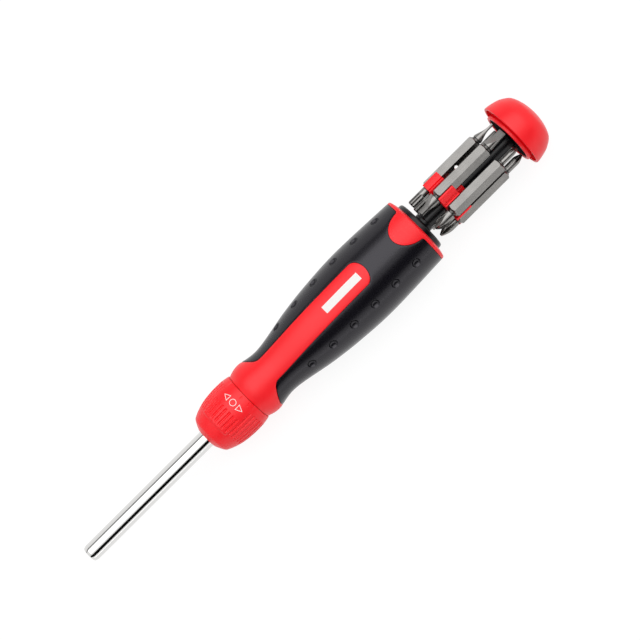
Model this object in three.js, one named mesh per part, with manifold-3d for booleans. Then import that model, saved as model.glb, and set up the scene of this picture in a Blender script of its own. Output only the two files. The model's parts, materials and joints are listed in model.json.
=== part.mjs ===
// Ratcheting screwdriver with its bit cartridge pulled out of the handle.
// Millimetres. +X runs along the tool from the shaft's tip to the end cap, and +Z faces the label strip.
// The origin is the middle of the tool's length, on its axis.

import * as THREE from "three";
import { mergeVertices } from "three/addons/utils/BufferGeometryUtils.js";
import Module from "manifold-3d";

const wasm = await Module();
wasm.setup();

// Fits
const runningGap = 0.3; // round a piece that turns or slides
const seatGap = 0.2; // between pieces that sit still against each other
const cutMargin = 1; // how far a cutting shape reaches past what it cuts

// Facets of round pieces
const roundSides = 24;
const smallSides = 12;
const coilSteps = 6; // steps in one turn of a spring

// Bits
const bitCount = 6;
const bitAcrossFlats = 6.35;
const bitLength = 50.8;
const bitBodyLength = 29.5;
const bitEndChamfer = 0.9;
const firstBitAngle = -70.5; // degrees round the axis, from +Z towards -Y
const ballDiameter = 2.2;
const ballProud = 0.95;
const ballHoleDepth = 3;
const ballSpringWire = 0.25;
const ballSpringTurns = 2.5;
const ballSpringRoom = 0.5; // between a ball and its spring, so that the ball can be pressed in

// Shaft
const shaftDiameter = 8.4;
const shaftReach = 73.2; // bare shaft in front of the collar
const shaftTipDrop = 0.3; // how far the tip's edge is eased inwards
const shaftTipEase = 1.4; // and how far along the shaft
const socketPlay = 0.1;
const socketDepth = 33;
const socketCornerDiameter = 7.15;
const gearSeatAcrossFlats = 6.2;
const journalRadius = 2.9;
const shaftTail = 2.2; // shaft behind the housing's floor

// Ratchet
const gearTeeth = 24;
const gearTipRadius = 5.9;
const gearLength = 7.6;
const toothDepth = 1.1;
const toothLand = 0.25;
const toothRootGap = 0.24;
const washerRadius = 4.8;
const washerThickness = 0.7;
const circlipThickness = 0.7;
const circlipDepth = 0.5; // how deep a circlip sits in its groove
const circlipWidth = 1.6;
const circlipMouth = 3.2;
const housingWall = 1;
const housingFloor = 5.4;
const housingTailAcrossFlats = 15;
const housingTailLength = 18;
const housingTailBore = 5.2;
const islandDepth = 4.5; // thick side of the housing that takes the screws and the selector spring
const coverThickness = 2.4;
const coverInset = 0.6; // how much smaller the cover is than the housing
const bushWall = 0.9;
const screwRadius = 0.6;
const screwLength = 6;
const screwHeadRadius = 1;
const screwHeadHeight = 0.8;
const screwInset = 2.9; // from the housing's outside to the screw's axis
const screwSpread = 3.4; // screw's axis to the tool's middle plane

// Pawls
const pawlPivotSetback = 4.4; // pivot to nose, across the tool
const pawlHeelRadius = 1.35;
const pawlPinRadius = 0.7;
const pawlBite = 0.42; // depth of a nose in the teeth with the selector in its middle place
const pawlNoseWidth = 0.16;
const pawlNoseSpread = 0.38; // how fast a nose widens, per millimetre on each side
const pawlBack = 1.4; // gear's tip to the pawl's back, where the spring sits
const pawlTailLift = 1.25; // gear's tip to the underside of the tail
const pawlTailThickness = 1.2;
const pawlTailAngle = 27; // degrees above the stud's middle place
const pawlHeadroom = 0.4; // gear's tip to the pawl's underside, beyond the running gap
const pawlSpringRadius = 0.75;
const pawlSpringWire = 0.25;
const pawlSpringTurns = 2.5;
const pawlSpringOffset = 1.1;
const pawlSpringRoom = 0.8; // between a pawl and its spring, so that the pawl can swing

// Selector
const collarLength = 25.7;
const collarRadius = 13.36;
// Outside of the collar from its nose to its rear, as shares of its length and of its radius.
const collarOutline = [
  [0, 0.414],
  [0.0195, 0.5],
  [0.0424, 0.588],
  [0.0763, 0.7],
  [0.1105, 0.757],
  [0.2125, 0.848],
  [0.35, 0.93],
  [0.4844, 0.975],
  [0.6537, 1],
  [0.825, 0.996],
  [0.891, 0.981],
  [0.961, 0.958],
  [1, 0.936],
];
const collarWall = 2.3;
const collarFrontWall = 2.4;
const collarNoseWall = 3;
const selectorTurn = 25; // degrees each way
const beadWidth = 0.8;
const beadCatch = 0.3;
const beadAt = 2.6; // in front of the housing's rear face
const camThickness = 1.6;
const camInset = 1; // how much smaller the cam plate is than the cover
const camBore = 5;
const studRadius = 0.9;
const studCircle = 7.6;
const keyWidth = 2;
const keyDepth = 1.2;
const leafThickness = 0.4;
const leafWidth = 3;
const leafSpan = 6;
const leafBump = 1;
const leafBumpSpan = 2.4;
const leafAt = 3.4; // behind the housing's front
const notchDepth = 0.55;

// Handle. Each station is a distance behind the handle's front and a radius.
const seamGap = 0.3; // between the collar and the handle
const handleLength = 104.5;
const frontRadius = 12.25;
const crestAt = 5.7;
const crestRadius = 13.46;
const waistAt = 17.1;
const waistRadius = 12.13;
const swellAt = 37.1;
const swellRadius = 15.58;
const shoulderAt = 52.9;
const shoulderRadius = 17.42;
const bellyAt = 72.1;
const bellyRadius = 18.33;
const rimSetback = 2.2; // rim's front edge to the handle's rear
const rimRadius = 17.22;
const rimEdgeSetback = 0.9; // rim's outer edge to the handle's rear
const rimEdgeRadius = 16.85;
const handleSteps = 15;
const gripThickness = 1.2;
const stripWidth = 12.3;
const stripStartAt = 13.1;
const stripEndAt = 75.4;
const stripEndRound = 4.2;
const neckEdgeAt = 7.6; // where the grip's front edge meets the side of the neck
const neckEdgeRadius = 13;
const neckFillet = 2.2;
const tabWidth = 16;
const tabLength = 10.3;
const coreBore = 4;

// Cartridge
const mouthRadius = 13.05;
const lipLength = 2.4;
const lipCatch = 0.55; // how far the mouth's lip stands into the chamber
const baseRadius = 12.56;
const baseProud = 2.3; // base above the handle's rear
const baseEdgeRound = 1.5;
const baseShoulderLength = 1.8;
const baseRecessRadius = 5.4;
const baseRecessDepth = 1.5;
const rodRadius = 4.2;
const rodBossRadius = 4.6;
const rodSpigotRadius = 3;
const rodBossLength = 1.6;
const bitCircle = 9.26;
const bitStandoff = 2; // base to the bits' lower tips
const clipAt = 9.9; // above the bits' lower tips
const clipFingerLength = 8.5;
const clipHubLength = 12;
const clipPlay = 0.25; // round a bit
const hookThickness = 0.8;
const hookReach = 3.4;
const hookBevel = 0.5;
const hookRootLength = 1.6;
const shortFingerThickness = 0.8;
const shortFingerReach = 0.4;
const discRadius = 11.1;
const discThickness = 1.2;
const discStandoff = 0.5; // bits' upper tips to the disc

// End cap
const capRadius = 16.43;
const capHeight = 13.6; // dome above its widest place
const capRimLength = 0.8; // dome's widest place above its rim
const capRoundness = 2.5; // exponent of the dome's curve
const capRimWidth = 1.1;
const capRecessDepth = 2.4;
const capRingRadius = 12.75;
const capRingProud = 1.8; // inner ring in front of the rim
const capShell = 2.2;
const capBossRadius = 5.2;
const capSpigotLength = 6;

// Places along the tool, measured from the shaft's tip
const shaftRadius = shaftDiameter / 2;
const collarFront = shaftReach;
const collarRear = collarFront + collarLength;
const handleFront = collarRear + seamGap;
const handleRear = handleFront + handleLength;
const rimFront = handleRear - rimSetback;
const rimEdge = handleRear - rimEdgeSetback;
const housingRear = handleFront - seatGap;
const floorFace = housingRear - housingFloor;
const washerRear = floorFace - runningGap;
const washerFront = washerRear - washerThickness;
const gearRear = washerFront - seatGap;
const gearFront = gearRear - gearLength;
const coverRear = gearFront - runningGap;
const housingFront = coverRear + seatGap;
const coverFront = coverRear - coverThickness;
const camRear = coverFront - runningGap;
const camFront = camRear - camThickness;
const housingTailEnd = housingRear + housingTailLength;
const circlipFront = housingRear + runningGap;
const circlipRear = circlipFront + circlipThickness;
const shaftEnd = housingRear + shaftTail;
const lipFront = handleRear - lipLength;
const baseTop = handleRear + baseProud;
const shoulderTop = lipFront - runningGap;
const baseBottom = shoulderTop - baseShoulderLength;
const rodFoot = baseTop + runningGap;
const bitStart = baseTop + bitStandoff;
const bitEnd = bitStart + bitLength;
const discFront = bitEnd + discStandoff;
const discRear = discFront + discThickness;
const capFloor = discRear + seatGap;
const capRim = capFloor;
const capCrest = capRim + capRimLength;
const toolLength = capCrest + capHeight;
const cartridgeTravel = capRim - handleRear - runningGap;
const chamberFront = baseBottom - cartridgeTravel - runningGap;

// Radii that follow from others
const collarBore = collarRadius - collarWall;
const housingRadius = collarBore - runningGap;
const cavityRadius = housingRadius - housingWall;
const coverRadius = housingRadius - coverInset;
const camRadius = coverRadius - camInset;
const beadRadius = housingRadius - beadCatch;
const bushBore = shaftRadius + runningGap;
const bushRadius = bushBore + bushWall;
const chamberRadius = mouthRadius + lipCatch;
const shoulderStopRadius = chamberRadius - runningGap;
const pocketHalf = bitAcrossFlats / 2 + clipPlay;
const bitAngles = Array.from({ length: bitCount }, (_, i) => firstBitAngle + (i * 360) / bitCount);

const degrees = THREE.MathUtils.degToRad;

// Turns a geometry into a closed solid: shared vertices merged, collapsed triangles dropped.
function solid(geometry) {
  const bare = new THREE.BufferGeometry();
  bare.setAttribute("position", geometry.getAttribute("position"));
  bare.setIndex(geometry.index);
  const merged = mergeVertices(bare, 1e-4);
  const index = merged.index.array;
  const triangles = [];
  for (let i = 0; i < index.length; i += 3) {
    const [a, b, c] = index.subarray(i, i + 3);
    if (a !== b && b !== c && c !== a) triangles.push(a, b, c);
  }
  return new wasm.Manifold(
    new wasm.Mesh({
      numProp: 3,
      vertProperties: merged.getAttribute("position").array,
      triVerts: new Uint32Array(triangles),
    }),
  );
}

const asSolid = (shape) => (shape.isBufferGeometry ? solid(shape) : shape);
const join = (...shapes) => shapes.map(asSolid).reduce((whole, next) => whole.add(next));
const cut = (shape, ...tools) =>
  tools.map(asSolid).reduce((rest, tool) => rest.subtract(tool), asSolid(shape));
const common = (...shapes) => shapes.map(asSolid).reduce((whole, next) => whole.intersect(next));

// A named mesh of a shape.
function piece(name, shape, material) {
  const { vertProperties, triVerts } = asSolid(shape).getMesh();
  const shared = new THREE.BufferGeometry();
  shared.setAttribute("position", new THREE.BufferAttribute(vertProperties, 3));
  shared.setIndex(new THREE.BufferAttribute(triVerts, 1));
  const geometry = shared.toNonIndexed();
  geometry.computeVertexNormals();
  const mesh = new THREE.Mesh(geometry, material);
  mesh.name = name;
  return mesh;
}

function group(...members) {
  const holder = new THREE.Group();
  holder.add(...members);
  return holder;
}

// A piece turned about the tool's axis, from [x, radius] points, with a flat facing +Z.
function turned(profile, sides = roundSides) {
  const points = profile.map(([x, r]) => new THREE.Vector2(r, x));
  return new THREE.LatheGeometry(points, sides, Math.PI / sides).rotateZ(-Math.PI / 2);
}

const rod = (x0, x1, r, sides) => turned([[x0, 0], [x0, r], [x1, r], [x1, 0]], sides);
const ring = (x0, x1, r0, r1) => turned([[x0, r0], [x0, r1], [x1, r1], [x1, r0], [x0, r0]]);
const hexRod = (x0, x1, acrossFlats) => rod(x0, x1, acrossFlats / 2 / Math.cos(Math.PI / 6), 6);

// An outline in the (y, z) plane, carried along the tool from x0 to x1.
const sectionAxes = new THREE.Matrix4().makeBasis(
  new THREE.Vector3(0, 1, 0),
  new THREE.Vector3(0, 0, 1),
  new THREE.Vector3(1, 0, 0),
);
function section(shape, x0, x1) {
  const options = { depth: x1 - x0, bevelEnabled: false, curveSegments: smallSides / 2 };
  return new THREE.ExtrudeGeometry(shape, options).applyMatrix4(sectionAxes).translate(x0, 0, 0);
}

// An outline seen from +Z, carried right through the tool.
function plan(shape) {
  const depth = 2 * (bellyRadius + cutMargin);
  const options = { depth, bevelEnabled: false, curveSegments: smallSides / 2 };
  return new THREE.ExtrudeGeometry(shape, options).translate(0, 0, -depth / 2);
}

// A block between two corners.
function block(x0, x1, y0, y1, z0, z1) {
  const geometry = new THREE.BoxGeometry(x1 - x0, y1 - y0, z1 - z0);
  return geometry.translate((x0 + x1) / 2, (y0 + y1) / 2, (z0 + z1) / 2);
}

// A round pin along the tool, off its axis.
const pin = (x0, x1, r, y, z) => rod(x0, x1, r, smallSides).translate(0, y, z);

// A place in the (y, z) plane: degrees from +Z towards -Y.
function around(angle, radius) {
  return new THREE.Vector2(-Math.sin(degrees(angle)) * radius, Math.cos(degrees(angle)) * radius);
}

// A place in the (y, z) plane: degrees from +Y towards +Z.
const clock = (angle, radius) => around(angle - 90, radius);

class Helix extends THREE.Curve {
  constructor(radius, length, turns) {
    super();
    Object.assign(this, { radius, length, turns });
  }
  getPoint(t, target = new THREE.Vector3()) {
    const angle = 2 * Math.PI * this.turns * t;
    return target.set(this.radius * Math.cos(angle), this.radius * Math.sin(angle), this.length * t);
  }
}

// A coil spring along Z, from z = 0 to its length.
function coil(radius, wire, length, turns) {
  const wireRound = new THREE.Shape().absarc(0, 0, wire / 2, 0, 2 * Math.PI);
  const path = new Helix(radius, length - wire, turns);
  const options = { steps: Math.round(turns * coilSteps), curveSegments: 2, extrudePath: path };
  return new THREE.ExtrudeGeometry(wireRound, options).translate(0, 0, wire / 2);
}

// Points of a superellipse quarter, from its tip towards its crest, as [x, radius].
function roundedNose(tip, crest, radius, exponent, steps) {
  const power = 2 / exponent;
  return Array.from({ length: steps + 1 }, (_, i) => {
    const angle = degrees((90 * i) / steps);
    return [crest - (crest - tip) * Math.cos(angle) ** power, radius * Math.sin(angle) ** power];
  });
}

// Materials
const finish = (color, roughness, metalness = 0) =>
  new THREE.MeshStandardMaterial({ color, roughness, metalness });
const redPlastic = finish(0xd61f27, 0.35);
const blackRubber = finish(0x222126, 0.75);
const blackPlastic = finish(0x141416, 0.35);
const chrome = finish(0xe8eaec, 0.08, 1);
const satinSteel = finish(0xa9a6a1, 0.38, 1);
const castMetal = finish(0x8f9295, 0.5, 1);
const brass = finish(0xb08d4f, 0.4, 1);

// Shaft, with the hex socket in its tip and the seat of the gear near its tail
function makeShaft() {
  const front = gearFront - seatGap;
  const grooveRadius = journalRadius - circlipDepth;
  const grooveFront = circlipFront - seatGap / 2;
  const grooveRear = circlipRear + seatGap / 2;
  const bar = turned([
    [0, 0],
    [0, shaftRadius - shaftTipDrop],
    [shaftTipEase, shaftRadius],
    [front, shaftRadius],
    [front, journalRadius],
    [grooveFront, journalRadius],
    [grooveFront, grooveRadius],
    [grooveRear, grooveRadius],
    [grooveRear, journalRadius],
    [shaftEnd, journalRadius],
    [shaftEnd, 0],
  ]);
  const gearSeat = hexRod(front - cutMargin, gearRear, gearSeatAcrossFlats);
  const socket = common(
    hexRod(-cutMargin, socketDepth, bitAcrossFlats + socketPlay),
    rod(-cutMargin, socketDepth, socketCornerDiameter / 2),
  );
  return piece("shaft", cut(join(bar, gearSeat), socket), chrome);
}

// Gear whose gaps between teeth face +Z and -Z, where the pawls bite
function makeGear() {
  const pitch = 360 / gearTeeth;
  const rootRadius = gearTipRadius - toothDepth;
  const halfLand = THREE.MathUtils.radToDeg(toothLand / 2 / gearTipRadius);
  const halfRoot = pitch / 2 - THREE.MathUtils.radToDeg(toothRootGap / 2 / rootRadius);
  const points = Array.from({ length: gearTeeth }, (_, i) => {
    const middle = (i + 0.5) * pitch;
    return [
      around(middle - halfRoot, rootRadius),
      around(middle - halfLand, gearTipRadius),
      around(middle + halfLand, gearTipRadius),
      around(middle + halfRoot, rootRadius),
    ];
  }).flat();
  const teeth = section(new THREE.Shape(points), gearFront, gearRear);
  const bore = hexRod(gearFront - cutMargin, gearRear + cutMargin, gearSeatAcrossFlats + 2 * seatGap);
  return piece("ratchet_gear", cut(teeth, bore), satinSteel);
}

// A circlip: a ring with a mouth towards -Z
function circlip(name, x0, x1, shaftGroove) {
  const inner = shaftGroove + seatGap;
  const outer = inner + circlipWidth;
  const half = circlipMouth / 2;
  const mouth = block(x0 - cutMargin, x1 + cutMargin, -half, half, -outer - cutMargin, 0);
  return piece(name, cut(ring(x0, x1, inner, outer), mouth), satinSteel);
}

function makeShaftGroup() {
  const washer = ring(washerFront, washerRear, journalRadius + seatGap, washerRadius);
  return group(
    makeShaft(),
    makeGear(),
    piece("thrust_washer", washer, brass),
    circlip("shaft_circlip", circlipFront, circlipRear, journalRadius - circlipDepth),
  );
}

// Places of the ratchet's inner pieces in the (y, z) plane
const islandFace = islandDepth - housingRadius;
const screwY = screwInset - housingRadius;
const pivotZ = gearTipRadius + runningGap + seatGap / 2;
const noseTip = gearTipRadius - pawlBite;
const pawlBackZ = gearTipRadius + pawlBack;

// Outline of the forward pawl: a heel on its pin, a nose in the teeth and a tail round to the stud
function pawlOutline() {
  const heel = (angle) => clock(angle, pawlHeelRadius).add(new THREE.Vector2(-pawlPivotSetback, pivotZ));
  const noseBase = gearTipRadius + runningGap + pawlHeadroom;
  const noseHalf = pawlNoseWidth / 2;
  const noseBaseHalf = noseHalf + pawlNoseSpread * (noseBase - noseTip);
  const tailInner = gearTipRadius + pawlTailLift;
  const tailOuter = tailInner + pawlTailThickness;
  const seatHalf = pawlSpringRadius + pawlSpringWire;
  return new THREE.Shape([
    heel(255),
    heel(300),
    new THREE.Vector2(-noseBaseHalf, noseBase),
    new THREE.Vector2(-noseHalf, noseTip),
    new THREE.Vector2(noseHalf, noseTip),
    new THREE.Vector2(noseBaseHalf, noseBase),
    clock(68, (noseBase + tailInner) / 2),
    clock(46, tailInner),
    clock(pawlTailAngle, tailInner),
    clock(pawlTailAngle, tailOuter),
    clock(46, tailOuter),
    new THREE.Vector2(pawlSpringOffset + seatHalf, pawlBackZ),
    new THREE.Vector2(pawlSpringOffset - seatHalf, pawlBackZ),
    heel(80),
    heel(120),
    heel(165),
    heel(210),
  ]);
}

function mirrored(shape) {
  const points = shape.getPoints().map((p) => new THREE.Vector2(p.x, -p.y));
  return new THREE.Shape(points.reverse());
}

function makePawl(name, side) {
  const outline = side > 0 ? pawlOutline() : mirrored(pawlOutline());
  const body = section(outline, gearFront, gearRear);
  const hole = pin(
    gearFront - cutMargin,
    gearRear + cutMargin,
    pawlPinRadius + seatGap,
    -pawlPivotSetback,
    side * pivotZ,
  );
  return piece(name, cut(body, hole), satinSteel);
}

// A pawl's pin runs from a hole in the cover to a hole in the housing's floor.
const pinFront = coverRear - coverThickness / 2;
const pinRear = floorFace + housingFloor / 2;
const pinHoles = [1, -1].map((side) =>
  pin(pinFront - seatGap, pinRear + seatGap, pawlPinRadius + seatGap, -pawlPivotSetback, side * pivotZ),
);

function makePawlPin(name, side) {
  return piece(name, pin(pinFront, pinRear, pawlPinRadius, -pawlPivotSetback, side * pivotZ), satinSteel);
}

function makePawlSpring(name, side) {
  const foot = pawlBackZ + pawlSpringRoom;
  const reach = pawlSpringOffset + pawlSpringRadius + pawlSpringWire;
  const roof = Math.sqrt((cavityRadius * Math.cos(Math.PI / roundSides)) ** 2 - reach ** 2) - seatGap;
  const spring = coil(pawlSpringRadius, pawlSpringWire, roof - foot, pawlSpringTurns);
  if (side < 0) spring.rotateX(Math.PI);
  spring.translate((gearFront + gearRear) / 2, pawlSpringOffset, side * foot);
  return piece(name, spring, satinSteel);
}

const leafFront = housingFront + leafAt;
const leafRear = leafFront + leafWidth;
const leafBack = -housingRadius + leafBump;

function makeHousing() {
  const grooveHalf = beadWidth / 2 + runningGap;
  const groove = housingRear - beadAt;
  const cup = turned([
    [housingFront, 0],
    [housingFront, housingRadius],
    [groove - grooveHalf, housingRadius],
    [groove - grooveHalf, beadRadius - runningGap],
    [groove + grooveHalf, beadRadius - runningGap],
    [groove + grooveHalf, housingRadius],
    [housingRear, housingRadius],
    [housingRear, 0],
  ]);
  const tail = hexRod(housingRear - cutMargin, housingTailEnd, housingTailAcrossFlats);
  const room = cut(
    rod(housingFront - cutMargin, floorFace, cavityRadius),
    block(
      housingFront - 2 * cutMargin,
      floorFace + cutMargin,
      -cavityRadius - cutMargin,
      islandFace,
      -cavityRadius - cutMargin,
      cavityRadius + cutMargin,
    ),
  );
  const journal = rod(floorFace - cutMargin, housingRear + cutMargin, journalRadius + runningGap);
  const tailBore = rod(housingRear, housingTailEnd + cutMargin, housingTailBore);
  const leafSeat = block(
    leafFront - seatGap,
    leafRear + seatGap,
    -housingRadius - cutMargin,
    leafBack + seatGap,
    -leafSpan / 2 - seatGap,
    leafSpan / 2 + seatGap,
  );
  const screwHoles = [1, -1].map((side) =>
    pin(
      housingFront - cutMargin,
      coverFront + screwHeadHeight + screwLength + 2 * seatGap,
      screwRadius + seatGap,
      screwY,
      side * screwSpread,
    ),
  );
  const body = cut(join(cup, tail), room, journal, tailBore, leafSeat, ...pinHoles, ...screwHoles);
  return piece("ratchet_housing", body, castMetal);
}

function makeCover() {
  const plate = rod(coverFront, coverRear, coverRadius);
  const through = [coverFront - cutMargin, coverRear + cutMargin];
  const bushHole = rod(...through, bushRadius + seatGap);
  const sweep = selectorTurn + THREE.MathUtils.radToDeg((studRadius + runningGap) / studCircle);
  const steps = 6;
  const arc = (radius, from, to) =>
    Array.from({ length: steps + 1 }, (_, i) => clock(from + ((to - from) * i) / steps, radius));
  const inner = arc(studCircle - studRadius - runningGap, -sweep, sweep);
  const outer = arc(studCircle + studRadius + runningGap, sweep, -sweep);
  const slot = section(new THREE.Shape([...inner, ...outer].reverse()), ...through);
  const screwSeats = [1, -1].flatMap((side) => [
    pin(...through, screwRadius + seatGap, screwY, side * screwSpread),
    pin(
      coverFront - cutMargin,
      coverFront + screwHeadHeight + seatGap,
      screwHeadRadius + seatGap,
      screwY,
      side * screwSpread,
    ),
  ]);
  return piece("housing_cover", cut(plate, bushHole, slot, ...pinHoles, ...screwSeats), castMetal);
}

function makeScrew(name, side) {
  const neck = coverFront + screwHeadHeight;
  const head = pin(coverFront, neck, screwHeadRadius, screwY, side * screwSpread);
  const shank = pin(neck - seatGap, neck + screwLength, screwRadius, screwY, side * screwSpread);
  const slot = block(
    coverFront - cutMargin,
    coverFront + screwHeadHeight / 2,
    screwY - screwHeadRadius - cutMargin,
    screwY + screwHeadRadius + cutMargin,
    side * screwSpread - screwRadius / 3,
    side * screwSpread + screwRadius / 3,
  );
  return piece(name, cut(join(head, shank), slot), satinSteel);
}

// Leaf spring on the housing's -Y side, with a bump that rests in a notch of the collar
function makeSelectorSpring() {
  const half = leafSpan / 2;
  const bumpHalf = leafBumpSpan / 2;
  const backs = [
    [leafBack, -half],
    [leafBack - leafThickness / 2, -bumpHalf],
    [-housingRadius - notchDepth / 4, 0],
    [leafBack - leafThickness / 2, bumpHalf],
    [leafBack, half],
  ];
  const inside = backs.map(([y, z]) => new THREE.Vector2(y, z));
  const outside = backs.map(([y, z]) => new THREE.Vector2(y - leafThickness, z)).reverse();
  const outline = new THREE.Shape([...inside, ...outside]);
  return piece("selector_spring", section(outline, leafFront, leafRear), satinSteel);
}

function makeCollar() {
  const outside = collarOutline.map(([along, out]) => [
    collarFront + along * collarLength,
    out * collarRadius,
  ]);
  const bead = housingRear - beadAt;
  const bore = shaftRadius + runningGap;
  const inside = [
    [collarRear, collarBore],
    [bead + beadWidth / 2, collarBore],
    [bead + beadWidth / 2, beadRadius],
    [bead - beadWidth / 2, beadRadius],
    [bead - beadWidth / 2, collarBore],
    [coverFront + runningGap, collarBore],
    [collarFront + collarFrontWall, collarBore - collarNoseWall],
    [collarFront + collarFrontWall, bore],
    [collarFront, bore],
  ];
  const shell = turned([...outside, ...inside, outside[0]]);
  const keyRoot = camRadius - keyDepth + seatGap;
  const keys = [1, -1].map((side) =>
    block(
      camFront - seatGap,
      camRear,
      -keyWidth / 2,
      keyWidth / 2,
      Math.min(side * keyRoot, side * collarBore),
      Math.max(side * keyRoot, side * collarBore),
    ),
  );
  const notches = [-selectorTurn, 0, selectorTurn].map((angle) =>
    block(
      leafFront - seatGap,
      leafRear + seatGap,
      -collarBore - notchDepth,
      -collarBore + cutMargin,
      -leafBumpSpan / 2,
      leafBumpSpan / 2,
    ).rotateX(degrees(angle)),
  );
  return piece("selector_collar", cut(join(shell, ...keys), ...notches), redPlastic);
}

// Cam plate keyed into the collar; its stud reaches through the cover's slot to the pawls' tails
function makeCam() {
  const plate = ring(camFront, camRear, camBore, camRadius);
  const keyways = [1, -1].map((side) =>
    block(
      camFront - cutMargin,
      camRear + cutMargin,
      -keyWidth / 2 - seatGap,
      keyWidth / 2 + seatGap,
      Math.min(side * (camRadius - keyDepth), side * (camRadius + cutMargin)),
      Math.max(side * (camRadius - keyDepth), side * (camRadius + cutMargin)),
    ),
  );
  const stud = pin(camRear - camThickness / 2, gearRear, studRadius, studCircle, 0);
  return piece("selector_cam", join(cut(plate, ...keyways), stud), satinSteel);
}

// Handle's outside, from the collar's seam to the rim
const handleCurve = new THREE.SplineCurve(
  [
    [0, frontRadius],
    [crestAt, crestRadius],
    [waistAt, waistRadius],
    [swellAt, swellRadius],
    [shoulderAt, shoulderRadius],
    [bellyAt, bellyRadius],
    [handleLength - rimSetback, rimRadius],
  ].map(([at, radius]) => new THREE.Vector2(handleFront + at, radius)),
).getPoints(handleSteps);

// A solid of the handle's outside, sunk by a depth everywhere up to the rim
function handleBody(depth) {
  const outline = handleCurve.map((p) => [p.x, p.y - depth]);
  return turned([
    [handleFront, 0],
    ...outline,
    [rimEdge, rimEdgeRadius - depth],
    [handleRear, mouthRadius + lipCatch - Math.min(depth, lipCatch)],
    [handleRear, 0],
  ]);
}

// Plan of the red neck and label strip, grown by a gap
function neckAndStrip(gap) {
  const far = bellyRadius + cutMargin;
  const half = stripWidth / 2 + gap;
  const start = handleFront + stripStartAt + gap;
  const lean = (stripStartAt - neckEdgeAt) / (neckEdgeRadius - stripWidth / 2);
  const sideX = start - lean * (far - half);
  const end = handleFront + stripEndAt + gap;
  const shape = new THREE.Shape();
  shape.moveTo(handleFront - cutMargin, far);
  shape.lineTo(handleFront - cutMargin, -far);
  shape.lineTo(sideX, -far);
  shape.lineTo(start - lean * neckFillet, -half - neckFillet);
  shape.quadraticCurveTo(start, -half, start + neckFillet, -half);
  shape.lineTo(end - stripEndRound, -half);
  shape.absellipse(end - stripEndRound, 0, stripEndRound, half, -Math.PI / 2, Math.PI / 2);
  shape.lineTo(start + neckFillet, half);
  shape.quadraticCurveTo(start, half, start - lean * neckFillet, half + neckFillet);
  shape.lineTo(sideX, far);
  return plan(shape);
}

// Plan of the red rim and the tab in front of it, grown by a gap
function rimAndTab(gap) {
  const far = bellyRadius + cutMargin;
  const edge = rimFront - gap;
  const shape = new THREE.Shape();
  shape.moveTo(handleRear + cutMargin, -far);
  shape.lineTo(handleRear + cutMargin, far);
  shape.lineTo(edge, far);
  shape.lineTo(edge, tabWidth / 2 + gap);
  shape.absellipse(edge, 0, tabLength, tabWidth / 2 + gap, Math.PI / 2, (3 * Math.PI) / 2);
  shape.lineTo(edge, -far);
  return plan(shape);
}

function makeCore() {
  const proud = common(handleBody(0), join(neckAndStrip(0), rimAndTab(0)));
  const sunk = handleBody(gripThickness + seatGap);
  const socketEnd = housingTailEnd + seatGap;
  const socket = hexRod(handleFront - cutMargin, socketEnd, housingTailAcrossFlats + 2 * seatGap);
  const bore = rod(socketEnd - cutMargin, chamberFront + cutMargin, coreBore);
  const chamber = turned([
    [chamberFront, 0],
    [chamberFront, chamberRadius],
    [lipFront, chamberRadius],
    [lipFront, mouthRadius],
    [handleRear + cutMargin, mouthRadius],
    [handleRear + cutMargin, 0],
  ]);
  return piece("handle_core", cut(join(proud, sunk), socket, bore, chamber), redPlastic);
}

function makeGrip() {
  const skin = cut(handleBody(0), handleBody(gripThickness));
  return piece("grip_overmould", cut(skin, neckAndStrip(seatGap), rimAndTab(seatGap)), blackRubber);
}

function makeHandleGroup() {
  const bush = ring(coverFront, coverRear, bushBore, bushRadius);
  return group(
    makeCore(),
    makeGrip(),
    makeHousing(),
    makeCover(),
    piece("front_bush", bush, brass),
    makeScrew("cover_screw_upper", 1),
    makeScrew("cover_screw_lower", -1),
    makePawlPin("pawl_pin_forward", 1),
    makePawlPin("pawl_pin_reverse", -1),
    makePawlSpring("pawl_spring_forward", 1),
    makePawlSpring("pawl_spring_reverse", -1),
    makeSelectorSpring(),
  );
}

// Base: the disc at the mouth, with the shoulder behind the lip and a recess for the rod's circlip
function makeBase() {
  const hole = rodSpigotRadius + runningGap;
  const edge = [0, 30, 60, 90].map((angle) => [
    baseTop - baseEdgeRound * (1 - Math.sin(degrees(angle))),
    baseRadius - baseEdgeRound * (1 - Math.cos(degrees(angle))),
  ]);
  const recess = baseBottom + baseRecessDepth;
  const profile = [
    [baseBottom, baseRecessRadius],
    [baseBottom, shoulderStopRadius],
    [shoulderTop, shoulderStopRadius],
    [shoulderTop, baseRadius],
    ...edge,
    [baseTop, hole],
    [recess, hole],
    [recess, baseRecessRadius],
    [baseBottom, baseRecessRadius],
  ];
  return piece("cartridge_base", turned(profile), blackPlastic);
}

// Rod: a spigot through the base, a boss on it, the bar between the bits and a spigot into the cap
const rodClipRear = baseBottom + baseRecessDepth - runningGap;
const rodClipFront = rodClipRear - circlipThickness;
function makeRod() {
  const grooveRadius = rodSpigotRadius - circlipDepth;
  const grooveFront = rodClipFront - seatGap / 2;
  const grooveRear = rodClipRear + seatGap / 2;
  const shoulder = discFront - seatGap;
  const profile = [
    [baseBottom, 0],
    [baseBottom, rodSpigotRadius],
    [grooveFront, rodSpigotRadius],
    [grooveFront, grooveRadius],
    [grooveRear, grooveRadius],
    [grooveRear, rodSpigotRadius],
    [rodFoot, rodSpigotRadius],
    [rodFoot, rodBossRadius],
    [rodFoot + rodBossLength, rodBossRadius],
    [rodFoot + rodBossLength, rodRadius],
    [shoulder, rodRadius],
    [shoulder, rodSpigotRadius],
    [capFloor + capSpigotLength, rodSpigotRadius],
    [capFloor + capSpigotLength, 0],
  ];
  return piece("cartridge_rod", turned(profile), blackPlastic);
}

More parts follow.
